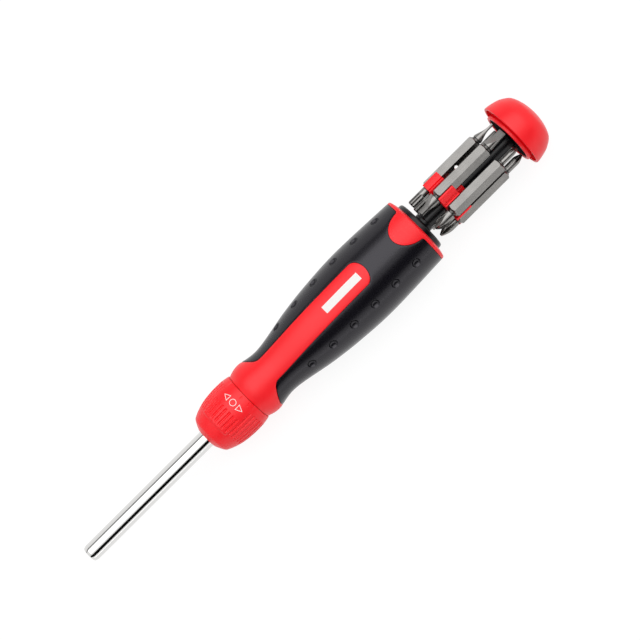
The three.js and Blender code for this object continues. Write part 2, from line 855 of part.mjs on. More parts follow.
// One slot of the clip, in the (y, z) plane: short finger, pocket, hook, then the groove to the next slot
function clipSlot(angle) {
  const centre = around(angle, bitCircle);
  const at = (turn, radius) => around(angle + turn, radius).add(centre);
  const pocketCorner = pocketHalf / Math.cos(Math.PI / 6);
  const step = (from, turn, distance) => from.clone().add(around(angle + turn, distance));
  const shortEnd = step(at(-90, pocketCorner), -30, shortFingerReach);
  const hookEnd = step(at(90, pocketCorner), -30, hookReach);
  const hookBack = step(step(hookEnd, 60, hookThickness), 150, hookBevel);
  const hookElbow = at(90, (pocketHalf + hookThickness) / Math.cos(Math.PI / 6));
  const grooveFloor = step(hookElbow, -150, hookRootLength);
  const grooveWidth = bitCircle - 2 * pocketHalf - hookThickness - shortFingerThickness;
  return [
    step(shortEnd, -120, shortFingerThickness),
    shortEnd,
    at(-150, pocketCorner),
    at(150, pocketCorner),
    at(90, pocketCorner),
    hookEnd,
    hookBack,
    hookElbow,
    grooveFloor,
    step(grooveFloor, 120, grooveWidth),
  ];
}

function makeClip() {
  const front = bitStart + clipAt;
  const outline = new THREE.Shape(bitAngles.flatMap(clipSlot));
  const fingers = section(outline, front, front + clipFingerLength);
  const hubAcrossFlats = 2 * (bitCircle - pocketHalf);
  const hub = hexRod(front, front + clipHubLength, hubAcrossFlats).rotateX(degrees(firstBitAngle));
  const bore = rod(front - cutMargin, front + clipHubLength + cutMargin, rodRadius + seatGap);
  return piece("bit_clip", cut(join(fingers, hub), bore), redPlastic);
}

function makeCap() {
  const dome = roundedNose(toolLength, capCrest, capRadius, capRoundness, 8).reverse();
  const spigotBore = rodSpigotRadius + seatGap;
  const boreEnd = capFloor + capSpigotLength + seatGap;
  const hollowRadius = discRadius + seatGap;
  const recessRadius = capRadius - capRimWidth;
  const profile = [
    [boreEnd, 0],
    [boreEnd, spigotBore],
    [capFloor, spigotBore],
    [capFloor, capBossRadius],
    [boreEnd, capBossRadius],
    [boreEnd, hollowRadius - capShell],
    [capFloor, hollowRadius],
    [capRim - capRingProud, hollowRadius],
    [capRim - capRingProud, capRingRadius],
    [capRim + capRecessDepth, capRingRadius],
    [capRim + capRecessDepth, recessRadius],
    [capRim, recessRadius],
    [capRim, capRadius],
    ...dome,
  ];
  return piece("end_cap", turned(profile), redPlastic);
}

// Tips of bits, pointing along +X from the end of a bit's body
const tipLength = (bitLength - bitBodyLength) / 2;
const tipRoot = -bitEndChamfer;

function crossTip(radius) {
  const point = 0.35;
  const taper = 2 * (radius - point);
  const blank = turned(
    [
      [tipRoot, 0],
      [tipRoot, radius],
      [tipLength - taper, radius],
      [tipLength, point],
      [tipLength, 0],
    ],
    smallSides,
  );
  const web = 0.32 * radius;
  const flutes = [45, 135, 225, 315].map((angle) => {
    const { x, y } = around(angle, web + radius);
    return rod(tipLength - 1.7 * taper, tipLength + cutMargin, radius, 4).translate(0, x, y);
  });
  return cut(blank, ...flutes);
}

function slottedTip(width, thickness) {
  const root = 1.35 * thickness + 1;
  const blank = turned(
    [
      [tipRoot, 0],
      [tipRoot, width / 2],
      [tipLength, width / 2],
      [tipLength, 0],
    ],
    smallSides,
  );
  const wedge = new THREE.Shape([
    new THREE.Vector2(tipRoot, -root),
    new THREE.Vector2(tipLength / 3, -root / 1.6),
    new THREE.Vector2(tipLength, -thickness / 2),
    new THREE.Vector2(tipLength, thickness / 2),
    new THREE.Vector2(tipLength / 3, root / 1.6),
    new THREE.Vector2(tipRoot, root),
  ]);
  return common(blank, plan(wedge));
}

function squareTip(width) {
  const corner = width / Math.SQRT2;
  const neck = rod(tipRoot, tipLength / 2, corner, smallSides);
  const drive = turned([[0, 0], [0, corner], [tipLength, 0.86 * corner], [tipLength, 0]], 4);
  return join(neck, drive);
}

function starTip(radius) {
  const lobes = Array.from({ length: 12 }, (_, i) => around(i * 30, i % 2 ? 0.74 * radius : radius));
  const neck = rod(tipRoot, tipLength / 3, radius, smallSides);
  return join(neck, section(new THREE.Shape(lobes), 0, tipLength));
}

// Each bit's lower and upper tip, and the flat that holds its ball, in degrees from the outward one
const bitKinds = [
  { lower: () => starTip(1.9), upper: () => slottedTip(3.6, 0.8), ballFlat: 180 },
  { lower: () => slottedTip(5.6, 1.1), upper: () => slottedTip(4.4, 0.9), ballFlat: -60 },
  { lower: () => crossTip(2.7), upper: () => crossTip(1.5), ballFlat: 180 },
  { lower: () => crossTip(2.4), upper: () => crossTip(1.75), ballFlat: 180 },
  { lower: () => squareTip(3.3), upper: () => squareTip(2.7), ballFlat: 180 },
  { lower: () => starTip(2.2), upper: () => starTip(1.5), ballFlat: 180 },
];

// A bit lies along X from its lower tip, with a flat facing +Z.
function makeBit(number, { lower, upper, ballFlat }) {
  const bodyStart = tipLength;
  const bodyEnd = bitLength - tipLength;
  const corner = bitAcrossFlats / 2 / Math.cos(Math.PI / 6);
  const body = common(
    hexRod(bodyStart, bodyEnd, bitAcrossFlats),
    turned([
      [bodyStart, 0],
      [bodyStart, corner - bitEndChamfer],
      [bodyStart + bitEndChamfer, corner + seatGap],
      [bodyEnd - bitEndChamfer, corner + seatGap],
      [bodyEnd, corner - bitEndChamfer],
      [bodyEnd, 0],
    ], smallSides),
  );
  const upperEnd = piece("", upper(), satinSteel).geometry.translate(bodyEnd, 0, 0);
  const lowerEnd = piece("", lower(), satinSteel).geometry.rotateZ(Math.PI).translate(bodyStart, 0, 0);
  const flat = bitAcrossFlats / 2;
  const ballRadius = ballDiameter / 2;
  const holeRadius = ballRadius + seatGap;
  const standing = (geometry) => geometry.translate(bitLength / 2, 0, 0).rotateX(degrees(ballFlat));
  const hole = rod(-ballHoleDepth, cutMargin, holeRadius, 8).rotateY(-Math.PI / 2).translate(0, 0, flat);
  const ballCentre = flat + ballProud - ballRadius;
  const ball = new THREE.IcosahedronGeometry(ballRadius, 1).translate(0, 0, ballCentre);
  const springFoot = flat - ballHoleDepth + seatGap;
  const springLength = ballCentre - ballRadius - ballSpringRoom - springFoot;
  const spring = coil(ballRadius - ballSpringWire, ballSpringWire, springLength, ballSpringTurns);
  spring.translate(0, 0, springFoot);
  const name = `bit_${number}`;
  return group(
    piece(name, cut(join(body, upperEnd, lowerEnd), standing(hole)), satinSteel),
    piece(`${name}_ball`, standing(ball), chrome),
    piece(`${name}_spring`, standing(spring), satinSteel),
  );
}

function makeCarousel() {
  const disc = ring(discFront, discRear, rodSpigotRadius + seatGap, discRadius);
  const bits = bitKinds.map((kind, i) => {
    const bit = makeBit(i + 1, kind);
    bit.position.set(bitStart, 0, bitCircle);
    const slot = group(bit);
    slot.rotation.x = degrees(bitAngles[i]);
    return slot;
  });
  return group(
    makeRod(),
    circlip("rod_circlip", rodClipFront, rodClipRear, rodSpigotRadius - circlipDepth),
    makeClip(),
    piece("top_disc", disc, blackPlastic),
    makeCap(),
    ...bits,
  );
}

const tool = group(
  makeShaftGroup(),
  group(makeCollar(), makeCam()),
  makePawl("pawl_forward", 1),
  makePawl("pawl_reverse", -1),
  makeHandleGroup(),
  makeBase(),
  makeCarousel(),
);
tool.position.x = -toolLength / 2;

const screwdriver = group(tool);
export default screwdriver;
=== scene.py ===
"""Looks of a ratcheting screwdriver whose cartridge of bits is pulled out of the handle.

Pieces are modelled in millimetres from the shaft's tip, along the tool's axis X, and are scaled to metres in
the frame of the solids when they are settled. Angles go round the axis from +Z, the label strip, towards -Y.
"""

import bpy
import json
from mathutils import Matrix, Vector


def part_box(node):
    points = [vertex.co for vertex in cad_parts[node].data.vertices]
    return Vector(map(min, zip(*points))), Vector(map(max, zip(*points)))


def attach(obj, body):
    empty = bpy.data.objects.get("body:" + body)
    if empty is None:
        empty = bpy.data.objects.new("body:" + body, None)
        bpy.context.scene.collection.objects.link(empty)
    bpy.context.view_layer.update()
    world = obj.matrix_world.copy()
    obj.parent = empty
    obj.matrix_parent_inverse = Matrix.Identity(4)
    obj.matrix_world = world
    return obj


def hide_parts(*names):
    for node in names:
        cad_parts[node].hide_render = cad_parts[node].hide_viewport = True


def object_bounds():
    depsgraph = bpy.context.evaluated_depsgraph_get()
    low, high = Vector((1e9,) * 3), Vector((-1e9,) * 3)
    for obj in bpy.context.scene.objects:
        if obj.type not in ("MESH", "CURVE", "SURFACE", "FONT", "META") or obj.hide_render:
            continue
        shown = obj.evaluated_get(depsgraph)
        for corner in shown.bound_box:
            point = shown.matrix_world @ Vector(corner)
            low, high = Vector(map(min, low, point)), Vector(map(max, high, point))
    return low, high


bl_info = {
    "name": "Ratcheting screwdriver",
    "version": (1, 0, 0),
    "blender": (4, 5, 0),
    "location": "View3D > Sidebar > Screwdriver",
    "description": "Finished pieces for a ratcheting screwdriver with a pull-out cartridge of bits",
    "category": "Object",
}

import bisect
import json
from math import atan2, ceil, cos, degrees, dist, hypot, pi, radians, sin, tau

import bmesh
import bpy
from mathutils import Matrix, Vector
from mathutils.kdtree import KDTree

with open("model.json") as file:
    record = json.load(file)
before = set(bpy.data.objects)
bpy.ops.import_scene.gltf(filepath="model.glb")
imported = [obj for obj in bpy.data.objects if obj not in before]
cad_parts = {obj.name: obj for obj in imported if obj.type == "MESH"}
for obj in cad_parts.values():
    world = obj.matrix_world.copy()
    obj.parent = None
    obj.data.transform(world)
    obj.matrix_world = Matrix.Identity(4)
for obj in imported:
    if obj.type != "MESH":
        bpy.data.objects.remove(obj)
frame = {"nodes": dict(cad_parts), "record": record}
CAD_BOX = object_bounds()

MM = 0.001
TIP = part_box("shaft")[0].x


def ends(node):
    """Where a solid starts and stops along the tool, in millimetres from the shaft's tip."""
    low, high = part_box(node)
    return (low.x - TIP) / MM, (high.x - TIP) / MM


def outer(node):
    """Radius of the circle inside a turned solid's facets, in millimetres."""
    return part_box(node)[1].z / MM


COLLAR_FRONT, COLLAR_REAR = ends("selector_collar")
HANDLE_FRONT, HANDLE_REAR = ends("handle_core")
BASE_BOTTOM, BASE_TOP = ends("cartridge_base")
BIT_START, BIT_END = ends("bit_1")
DISC_FRONT, DISC_REAR = ends("top_disc")
CAP_RING, CAP_TOP = ends("end_cap")

# Handle: distance behind its front and radius, in millimetres
HANDLE_STATIONS = (
    (0, 12.25), (5.7, 13.46), (17.1, 12.13), (37.1, 15.58), (52.9, 17.42), (72.1, 18.33), (102.3, 17.22)
)
RIM_FRONT = HANDLE_FRONT + HANDLE_STATIONS[-1][0]
RIM_EDGE_SETBACK = 0.9
RIM_EDGE_RADIUS = 16.85
MOUTH_RADIUS = 13.05
GRIP_THICKNESS = 1.6
STRIP_HALF = 6.15
STRIP_START = HANDLE_FRONT + 13.1
STRIP_END = HANDLE_FRONT + 75.4
STRIP_END_ROUND = 4.2
NECK_LEAN = 0.8
NECK_FILLET = 2.2
TAB_HALF = 8.0
TAB_LENGTH = 10.3
TAB_CORNER = 0.8
BIT_CIRCLE = 9.26
BIT_FLATS = 6.35
BIT_BODY = 29.5
FIRST_BIT_ANGLE = -70.5
BIT_ANGLES = [FIRST_BIT_ANGLE + 60 * i for i in range(6)]


def distance(name, description, millimetres):
    return bpy.props.FloatProperty(
        name=name,
        description=description,
        default=millimetres * MM,
        subtype="DISTANCE",
        unit="LENGTH",
        precision=5,
    )


def rotation(name, description, turn):
    return bpy.props.FloatProperty(
        name=name,
        description=description,
        default=radians(turn),
        subtype="ANGLE",
        unit="ROTATION",
    )


def paint(name, description, red, green, blue):
    return bpy.props.FloatVectorProperty(
        name=name,
        description=description,
        default=(red, green, blue),
        size=3,
        min=0,
        max=1,
        subtype="COLOR",
    )


class ToolSizes(bpy.types.PropertyGroup):
    """Sizes of the details"""

    dimple_width: distance("Dimple width", "Across one dimple", 4.2)
    dimple_depth: distance("Dimple depth", "Depth of one dimple", 1.4)
    dimple_first: distance("First dimple", "From the handle's front to the first dimple", 30.2)
    dimple_pitch: distance("Dimple pitch", "From one dimple to the next along a row", 12.5)
    dimple_count: bpy.props.IntProperty(name="Dimples", description="Dimples in one row", default=6, min=1)
    dimple_turn: rotation("Row angle", "From the strip's middle to a row, where the handle is widest", 47.4)
    dimple_spread: rotation("Row spread", "Further turn of a row per millimetre of a narrower handle", 1.85)
    seam: distance("Seam", "Gap between the rubber and the red moulding", 0.22)
    edge_roll: distance("Edge roll", "Width of the rounding along the rubber's edges", 0.35)
    edge_drop: distance("Edge drop", "Depth of the rounding along the rubber's edges", 0.08)
    groove_count: bpy.props.IntProperty(name="Grooves", description="Round the collar", default=36, min=4)
    groove_width: distance("Groove width", "Across one groove", 1.0)
    groove_depth: distance("Groove depth", "Depth of one groove", 0.6)
    mark_line: distance("Mark line", "Line width of the collar's marks", 0.25)
    label_at: distance("Label place", "From the handle's front to the middle of the label panel", 60.8)
    label_length: distance("Label length", "Length of the plain label panel", 21.0)
    label_width: distance("Label width", "Width of the plain label panel", 3.7)
    view_distance: distance("View distance", "From the tool to the camera", 745)
    view_width: distance("View width", "Width of the picture at the tool", 280.8)


class ToolColours(bpy.types.PropertyGroup):
    """Colours of the finishes"""

    red: paint("Red moulding", "Collar, core, clip and cap", 0.92, 0.003, 0.010)
    rubber: paint("Rubber", "Grip", 0.0034, 0.0030, 0.0050)
    black: paint("Black moulding", "Base, rod and top disc", 0.0040, 0.0040, 0.0050)
    bright: paint("Bright plating", "Shaft", 0.71, 0.705, 0.695)
    steel: paint("Bit steel", "Bits", 0.24, 0.233, 0.224)
    mark: paint("Printed marks", "Marks of the collar and the plain label panel", 0.86, 0.83, 0.81)


# Profiles


def through(points, steps):
    """A smooth curve through points, with some steps between each two."""
    padded = [points[0], *points, points[-1]]
    curve = []
    for before, start, end, after in zip(padded, padded[1:], padded[2:], padded[3:]):
        for step in range(steps):
            t = step / steps
            place = []
            for a, b, c, d in zip(before, start, end, after):
                leave, arrive = (c - a) / 2, (d - b) / 2
                cubic = 2 * b - 2 * c + leave + arrive
                square = -3 * b + 3 * c - 2 * leave - arrive
                place.append(((cubic * t + square) * t + leave) * t + b)
            curve.append(tuple(place))
    return [*curve, points[-1]]


def bend(start, corner, end, steps):
    """A curve from start to end, drawn towards a corner."""
    shares = [step / steps for step in range(steps + 1)]
    return [tuple(start.lerp(corner, t).lerp(corner.lerp(end, t), t)) for t in shares]


def eased(points, radius, steps=4):
    """A line of points with its inner corners rounded, over less than half of their sides."""
    most = 0.45
    soft = [points[0]]
    for before, corner, after in zip(points, points[1:], points[2:]):
        corner, before, after = Vector(corner), Vector(before), Vector(after)
        back, on = before - corner, after - corner
        start = corner + back.normalized() * min(radius, back.length * most)
        end = corner + on.normalized() * min(radius, on.length * most)
        soft += bend(start, corner, end, steps)
    return [*soft, points[-1]]


def dense(points, spacing):
    """A line of points with none further apart than the spacing."""
    fine = []
    for start, end in zip(points, points[1:]):
        count = max(1, ceil(dist(start, end) / spacing))
        fine += [tuple(Vector(start).lerp(Vector(end), i / count)) for i in range(count)]
    return [*fine, points[-1]]


def radius_along(points):
    """A function that reads a profile's radius at a place along the tool."""
    places = [x for x, _ in points]

    def radius(x):
        i = min(max(bisect.bisect(places, x), 1), len(points) - 1)
        (x0, r0), (x1, r1) = points[i - 1], points[i]
        return r0 + (r1 - r0) * (x - x0) / (x1 - x0)

    return radius


PRINT_ROOM = 0.045  # kept free inside the solids' box for the printed panel
HANDLE_CURVE = through(HANDLE_STATIONS, steps=24)
HANDLE_FIT = (CAD_BOX[1].z / MM - PRINT_ROOM) / max(radius for _, radius in HANDLE_CURVE)
HANDLE_CURVE = [(HANDLE_FRONT + at, radius * HANDLE_FIT) for at, radius in HANDLE_CURVE]
handle_radius = radius_along(HANDLE_CURVE)


def blend_in(x, start, end):
    """0 before start, 1 after end and smooth between."""
    t = min(max((x - start) / (end - start), 0), 1)
    return t * t * (3 - 2 * t)


# Meshes

ON_AXIS = 1e-6


def weld(bm):
    bmesh.ops.remove_doubles(bm, verts=bm.verts, dist=1e-4)
    bmesh.ops.recalc_face_normals(bm, faces=bm.faces)


def spun(profile, steps, closed=False):
    """A mesh turned about the tool's axis from (x, radius) points: one sector, then its copies."""
    sectors = 12
    bm = bmesh.new()
    verts = [bm.verts.new((x, 0, radius)) for x, radius in profile]
    line = verts + verts[:1] if closed else verts
    edges = [bm.edges.new(pair) for pair in zip(line, line[1:])]
    about = {"cent": (0, 0, 0), "axis": (1, 0, 0)}
    sector = tau / sectors
    bmesh.ops.spin(bm, geom=verts + edges, angle=sector, steps=steps // sectors, **about)
    made_once, rest = bm.verts[:] + bm.edges[:] + bm.faces[:], tau - sector
    bmesh.ops.spin(bm, geom=made_once, angle=rest, steps=sectors - 1, use_duplicate=True, **about)
    weld(bm)
    return bm


def turn_of(co):
    """Degrees of a point round the axis, from +Z towards -Y."""
    return degrees(atan2(-co.y, co.z))


def reshape(bm, rule):
    """Moves every vertex to the radius that the rule gives for its place, radius and angle."""
    for vert in bm.verts:
        radius = hypot(vert.co.y, vert.co.z)
        if radius > ON_AXIS:
            factor = rule(vert.co.x, radius, turn_of(vert.co)) / radius
            vert.co.y *= factor
            vert.co.z *= factor


def off_flat(angle):
    """Degrees of an angle from the middle of the nearest flat of a hexagon."""
    return (angle + 30) % 60 - 30


def around(x, angle, radius):
    turn = radians(angle)
    return Vector((x, -sin(turn) * radius, cos(turn) * radius))


def wrap(bm, x, angle, surface, lift):
    """Lays a flat mesh round the axis: its X along the tool, its Y along the turn."""
    for vert in bm.verts:
        place = x + vert.co.x
        radius = surface(place) + lift
        vert.co = around(place, angle + degrees(vert.co.y / radius), radius)


def plate(outline, half):
    """A prism through the tool from an outline in (x, y), half high each way."""
    bm = bmesh.new()
    face = bm.faces.new([bm.verts.new((x, y, -half)) for x, y in outline])
    raised = bmesh.ops.extrude_face_region(bm, geom=[face])["geom"]
    risen = [item for item in raised if isinstance(item, bmesh.types.BMVert)]
    bmesh.ops.translate(bm, verts=risen, vec=(0, 0, 2 * half))
    weld(bm)
    return bm


def put(name, data):
    """An object in the scene."""
    thing = bpy.data.objects.new(name, data)
    bpy.context.scene.collection.objects.link(thing)
    return thing


def loose(name, bm):
    """An object of a bmesh, which is used up."""
    mesh = bpy.data.meshes.new(name)
    bm.to_mesh(mesh)
    bm.free()
    return put(name, mesh)


def cut(thing, tool):
    """Cuts a tool out of an object, and uses the tool up."""
    modifier = thing.modifiers.new("cut", "BOOLEAN")
    modifier.object = tool
    modifier.operation = "DIFFERENCE"
    modifier.solver = "EXACT"
    bpy.context.view_layer.update()
    graph = bpy.context.evaluated_depsgraph_get()
    mesh = bpy.data.meshes.new_from_object(thing.evaluated_get(graph))
    if not mesh.polygons:
        raise RuntimeError(f"nothing is left of {thing.name} after its cut")
    thing.modifiers.clear()
    thing.data = mesh
    bpy.data.objects.remove(tool)


def joined(*things):
    """The meshes of objects in one bmesh; the objects go."""
    bm = bmesh.new()
    for thing in things:
        bm.from_mesh(thing.data)
        bpy.data.objects.remove(thing)
    return bm


def settle(bm, name, body, slot, *nodes, look=None, sharp=35):
    """Makes a piece of a mesh in millimetres: placed in the frame, smooth, finished and riding on its body.

    Its look is its slot's finish, unless another is named. Edges above the sharp angle stay sharp.
    """
    bmesh.ops.scale(bm, vec=(MM, MM, MM), verts=bm.verts)
    bmesh.ops.translate(bm, vec=(TIP, 0, 0), verts=bm.verts)
    piece = loose(name, bm)
    piece.data.shade_smooth()
    piece.data.set_sharp_from_angle(angle=radians(sharp))
    piece.data.materials.append(finish(look or slot))
    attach(piece, body)
    if nodes:
        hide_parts(*nodes)


# Finishes

NOISE_LOW, NOISE_HIGH = 0.3, 0.7  # the middle range of the noise


def add(tree, kind, values=None):
    """A new node of a tree, with values on its sockets."""
    node = tree.nodes.new(kind)
    for socket, value in (values or {}).items():
        node.inputs[socket].default_value = value
    return node


def grain(tree, scale, detail=2, stretch=(1, 1, 1)):
    """Noise over a piece, by its own coordinates; scale counts cells in a metre."""
    place = add(tree, "ShaderNodeTexCoord")
    mapping = add(tree, "ShaderNodeMapping", {"Scale": stretch})
    noise = add(tree, "ShaderNodeTexNoise", {"Scale": scale, "Detail": detail})
    tree.links.new(place.outputs["Object"], mapping.inputs["Vector"])
    tree.links.new(mapping.outputs["Vector"], noise.inputs["Vector"])
    return noise.outputs["Fac"]


def spread(tree, source, low, high):
    """The source's middle range, stretched between two values."""
    limits = {"From Min": NOISE_LOW, "From Max": NOISE_HIGH, "To Min": low, "To Max": high}
    ramp = add(tree, "ShaderNodeMapRange", limits)
    tree.links.new(source, ramp.inputs["Value"])
    return ramp.outputs["Result"]


def tint(tree, source, dark, light):
    """A colour that drifts between two."""
    ramp = add(tree, "ShaderNodeValToRGB")
    for stop, position, colour in zip(ramp.color_ramp.elements, (NOISE_LOW, NOISE_HIGH), (dark, light)):
        stop.position = position
        stop.color = (*colour, 1)
    tree.links.new(source, ramp.inputs["Fac"])
    return ramp.outputs["Color"]


def emboss(tree, source, strength, height):
    """A fine relief."""
    bump = add(tree, "ShaderNodeBump", {"Strength": strength, "Distance": height})
    tree.links.new(source, bump.inputs["Height"])
    return bump.outputs["Normal"]


def darken(tree, source, attribute, colour):
    """A colour that turns to another where the mesh says so: the bits' painted shade."""
    where = add(tree, "ShaderNodeAttribute")
    where.attribute_name = attribute
    mix = add(tree, "ShaderNodeMixRGB", {"Color2": (*colour, 1)})
    tree.links.new(where.outputs["Fac"], mix.inputs["Fac"])
    tree.links.new(source, mix.inputs["Color1"])
    return mix.outputs["Color"]


def coating(name, colour, shading, roughness, fine, drift=None, relief=None, flute=None, levels=None):
    """A material: roughness and relief follow a fine noise, and the colour follows a drift, if there is one.

    The colour is given or is a user's, by its name. Its darkest and lightest shares are the shading, and a
    further share of it is the painted shade in the bits' flutes, necks and ledges.
    """
    if isinstance(colour, str):
        colour = getattr(bpy.context.scene.tool_colours, colour)
    material = bpy.data.materials.new(name)
    material.use_nodes = True
    tree = material.node_tree
    main = tree.nodes["Principled BSDF"].inputs
    skin = grain(tree, **fine)
    wander = grain(tree, **drift) if drift else skin
    dark, light = ([min(1, channel * share) for channel in colour] for share in shading)
    tone = tint(tree, wander, dark, light)
    if flute:
        tone = darken(tree, tone, "flute", [channel * flute for channel in colour])
    tree.links.new(tone, main["Base Color"])
    tree.links.new(spread(tree, skin, *roughness), main["Roughness"])
    if relief:
        tree.links.new(emboss(tree, skin, **relief), main["Normal"])
    for level, value in (levels or {}).items():
        main[level].default_value = value
    return material


BLACK = dict(
    colour="black", shading=(0.9, 1.2), fine=dict(scale=1500), drift=dict(scale=80),
    relief=dict(strength=0.06, height=0.00005),
)
MACHINED = dict(
    shading=(0.9, 1.08), fine=dict(scale=2200, detail=3, stretch=(0.1, 1, 1)), levels={"Metallic": 1}
)
FINISHES = {
    "red_plastic": dict(
        name="red_moulding", colour="red", shading=(0.95, 1.03), roughness=(0.34, 0.44),
        fine=dict(scale=2600, detail=3), drift=dict(scale=60), relief=dict(strength=0.12, height=0.00006),
        levels={"Specular IOR Level": 0.46},
    ),
    "black_rubber": dict(
        name="grip_rubber", colour="rubber", shading=(0.9, 1.15), roughness=(0.22, 0.29),
        fine=dict(scale=1900, detail=4), drift=dict(scale=45), relief=dict(strength=0.18, height=0.00008),
        levels={"Specular IOR Level": 0.44, "Specular Tint": (0.96, 0.93, 1, 1)},
    ),
    "black_plastic": dict(
        name="black_moulding", roughness=(0.22, 0.32), levels={"Specular IOR Level": 0.3}, **BLACK
    ),
    "matt_black": dict(
        name="matt_black_moulding", roughness=(0.8, 0.9), levels={"Specular IOR Level": 0.01}, **BLACK
    ),
    "chrome": dict(
        name="bright_plating", colour="bright", shading=(0.98, 1.02), roughness=(0.05, 0.07),
        fine=dict(scale=2500, stretch=(0.02, 1, 1)), levels={"Metallic": 1},
    ),
    "satin_steel": dict(
        name="bit_steel", colour="steel", shading=(0.92, 1.06), roughness=(0.26, 0.36),
        fine=dict(scale=3200, detail=3, stretch=(0.03, 1, 1)), drift=dict(scale=170, detail=3),
        # The bits' painted shade is this share of the steel's colour.
        relief=dict(strength=0.1, height=0.00004), flute=0.12, levels={"Metallic": 1},
    ),
    "mark": dict(
        name="printed_mark", colour="mark", shading=(0.95, 1), roughness=(0.4, 0.5), fine=dict(scale=900)
    ),
    "ball": dict(name="ball_steel", colour=(0.88, 0.87, 0.85), roughness=(0.22, 0.34), **MACHINED),
    "cast_metal": dict(name="die_cast", colour=(0.05, 0.05, 0.052), roughness=(0.5, 0.62), **MACHINED),
    "brass": dict(name="turned_brass", colour=(0.55, 0.37, 0.13), roughness=(0.3, 0.42), **MACHINED),
    "inner_steel": dict(name="spring_steel", colour=(0.42, 0.41, 0.4), roughness=(0.3, 0.42), **MACHINED),
}
made = {}


def finish(look):
    """The material of a slot or of another look, made once."""
    if look not in made:
        made[look] = coating(**FINISHES[look])
    return made[look]


# Handle

CLEAR = 20  # half of the cutting tools' width and height
PAST_END = 2  # their reach past the handle's ends
SKIN_SPACING = 0.8
HANDLE_STEPS = 160


def quarter(x, reach, half):
    """A quarter of an ellipse in an outline, from its side at x to its end."""
    steps = 24
    turns = [pi / 2 * step / steps for step in range(steps + 1)]
    return [(x + reach * sin(turn), half * cos(turn)) for turn in turns]


def both_sides(upper):
    """A whole outline from its upper half, which ends on the middle line."""
    return upper + [(x, -y) for x, y in reversed(upper[:-1])]


def neck_and_strip(gap):
    """Outline, seen from above, of the red neck and the label strip, grown by a gap."""
    half, start, end = STRIP_HALF + gap, STRIP_START + gap, STRIP_END + gap
    lead = 1.6 * NECK_FILLET
    side = [(start - NECK_LEAN * out, half + out) for out in (CLEAR - half, lead)]
    fillet = bend(
        Vector((start - NECK_LEAN * NECK_FILLET, half + NECK_FILLET)),
        Vector((start, half)),
        Vector((start + NECK_FILLET, half)),
        steps=12,
    )
    tip = quarter(end - STRIP_END_ROUND, STRIP_END_ROUND, half)
    return both_sides([(HANDLE_FRONT - PAST_END, CLEAR), *side, *fillet, *tip])


def rim_and_tab(gap):
    """Outline, seen from above, of the red rim and the tab in front of it, grown by a gap."""
    edge, half = RIM_FRONT - gap, TAB_HALF + gap
    corner = [(HANDLE_REAR + PAST_END, CLEAR), (edge, CLEAR), (edge, half + TAB_CORNER)]
    return both_sides([*corner, *quarter(edge, -TAB_LENGTH, half)[1:]])


def windows(gap):
    """The tool that cuts the red windows out of the rubber."""
    plates = [loose("plate", plate(outline(gap), CLEAR)) for outline in (neck_and_strip, rim_and_tab)]
    return loose("windows", joined(*plates))


def handle_skin(proud, depth, steps):
    """A closed skin of the handle between two depths, with fewer points on its inside."""
    fine, coarse = dense(HANDLE_CURVE, SKIN_SPACING), HANDLE_CURVE[::8]
    outside = [(x, r + proud) for x, r in fine] + [(HANDLE_REAR + proud, RIM_EDGE_RADIUS + proud)]
    inside = [(x, r - depth) for x, r in coarse] + [(HANDLE_REAR + proud, RIM_EDGE_RADIUS - depth)]
    return spun(outside + inside[::-1], steps, closed=True)


def edge_tree(outline):
    """Points along an outline seen from above, to measure a vertex's distance from it."""
    points = dense(outline, spacing=0.1)
    tree = KDTree(len(points))
    for i, (x, y) in enumerate(points):
        tree.insert((x, y, 0), i)
    tree.balance()
    return tree


def roll_edges(bm, gap, width, drop):
    """Rounds the skin down towards the edges of the windows."""
    trees = [edge_tree(neck_and_strip(gap)), edge_tree(rim_and_tab(gap))]
    on_skin, last = 0.05, RIM_FRONT + 0.5
    for vert in bm.verts:
        radius = hypot(vert.co.y, vert.co.z)
        depth = handle_radius(vert.co.x) - radius
        if abs(depth) < on_skin and vert.co.x < last:
            near = min(tree.find((vert.co.x, vert.co.y, 0))[2] for tree in trees)
            if near < width:
                fall = drop * (1 - near / width) ** 2
                vert.co.y *= 1 - fall / radius
                vert.co.z *= 1 - fall / radius


def press_dimples(bm, size):
    """Presses rows of dimples into the skin, beside both strips, and makes it finer there."""
    skin_depth, finer_reaches, fullness = 0.3, (0.85, 0.75), 0.65
    width, depth = size.dimple_width / MM, size.dimple_depth / MM
    first, pitch = HANDLE_FRONT + size.dimple_first / MM, size.dimple_pitch / MM
    widest = max(radius for _, radius in HANDLE_CURVE)
    centres = KDTree(4 * size.dimple_count)
    for i in range(size.dimple_count):
        x = first + i * pitch
        radius = handle_radius(x)
        row = degrees(size.dimple_turn + size.dimple_spread * (widest - radius))
        for turn in (row, -row, 180 - row, 180 + row):
            centres.insert(around(x, turn, radius), i)
    centres.balance()

    def away(co):
        return centres.find(co)[2]

    def outside(vert):
        return hypot(vert.co.y, vert.co.z) > handle_radius(vert.co.x) - skin_depth

    for reach in finer_reaches:
        skin = [edge for edge in bm.edges if all(outside(vert) for vert in edge.verts)]
        near = [edge for edge in skin if away((edge.verts[0].co + edge.verts[1].co) / 2) < reach * width]
        bmesh.ops.subdivide_edges(bm, edges=near, cuts=1, use_grid_fill=True)
    for vert in bm.verts:
        if outside(vert):
            share = away(vert.co) / (width / 2)
            radius = handle_radius(vert.co.x) - depth * max(0, 1 - share**2) ** fullness
            vert.co = around(vert.co.x, turn_of(vert.co), radius)


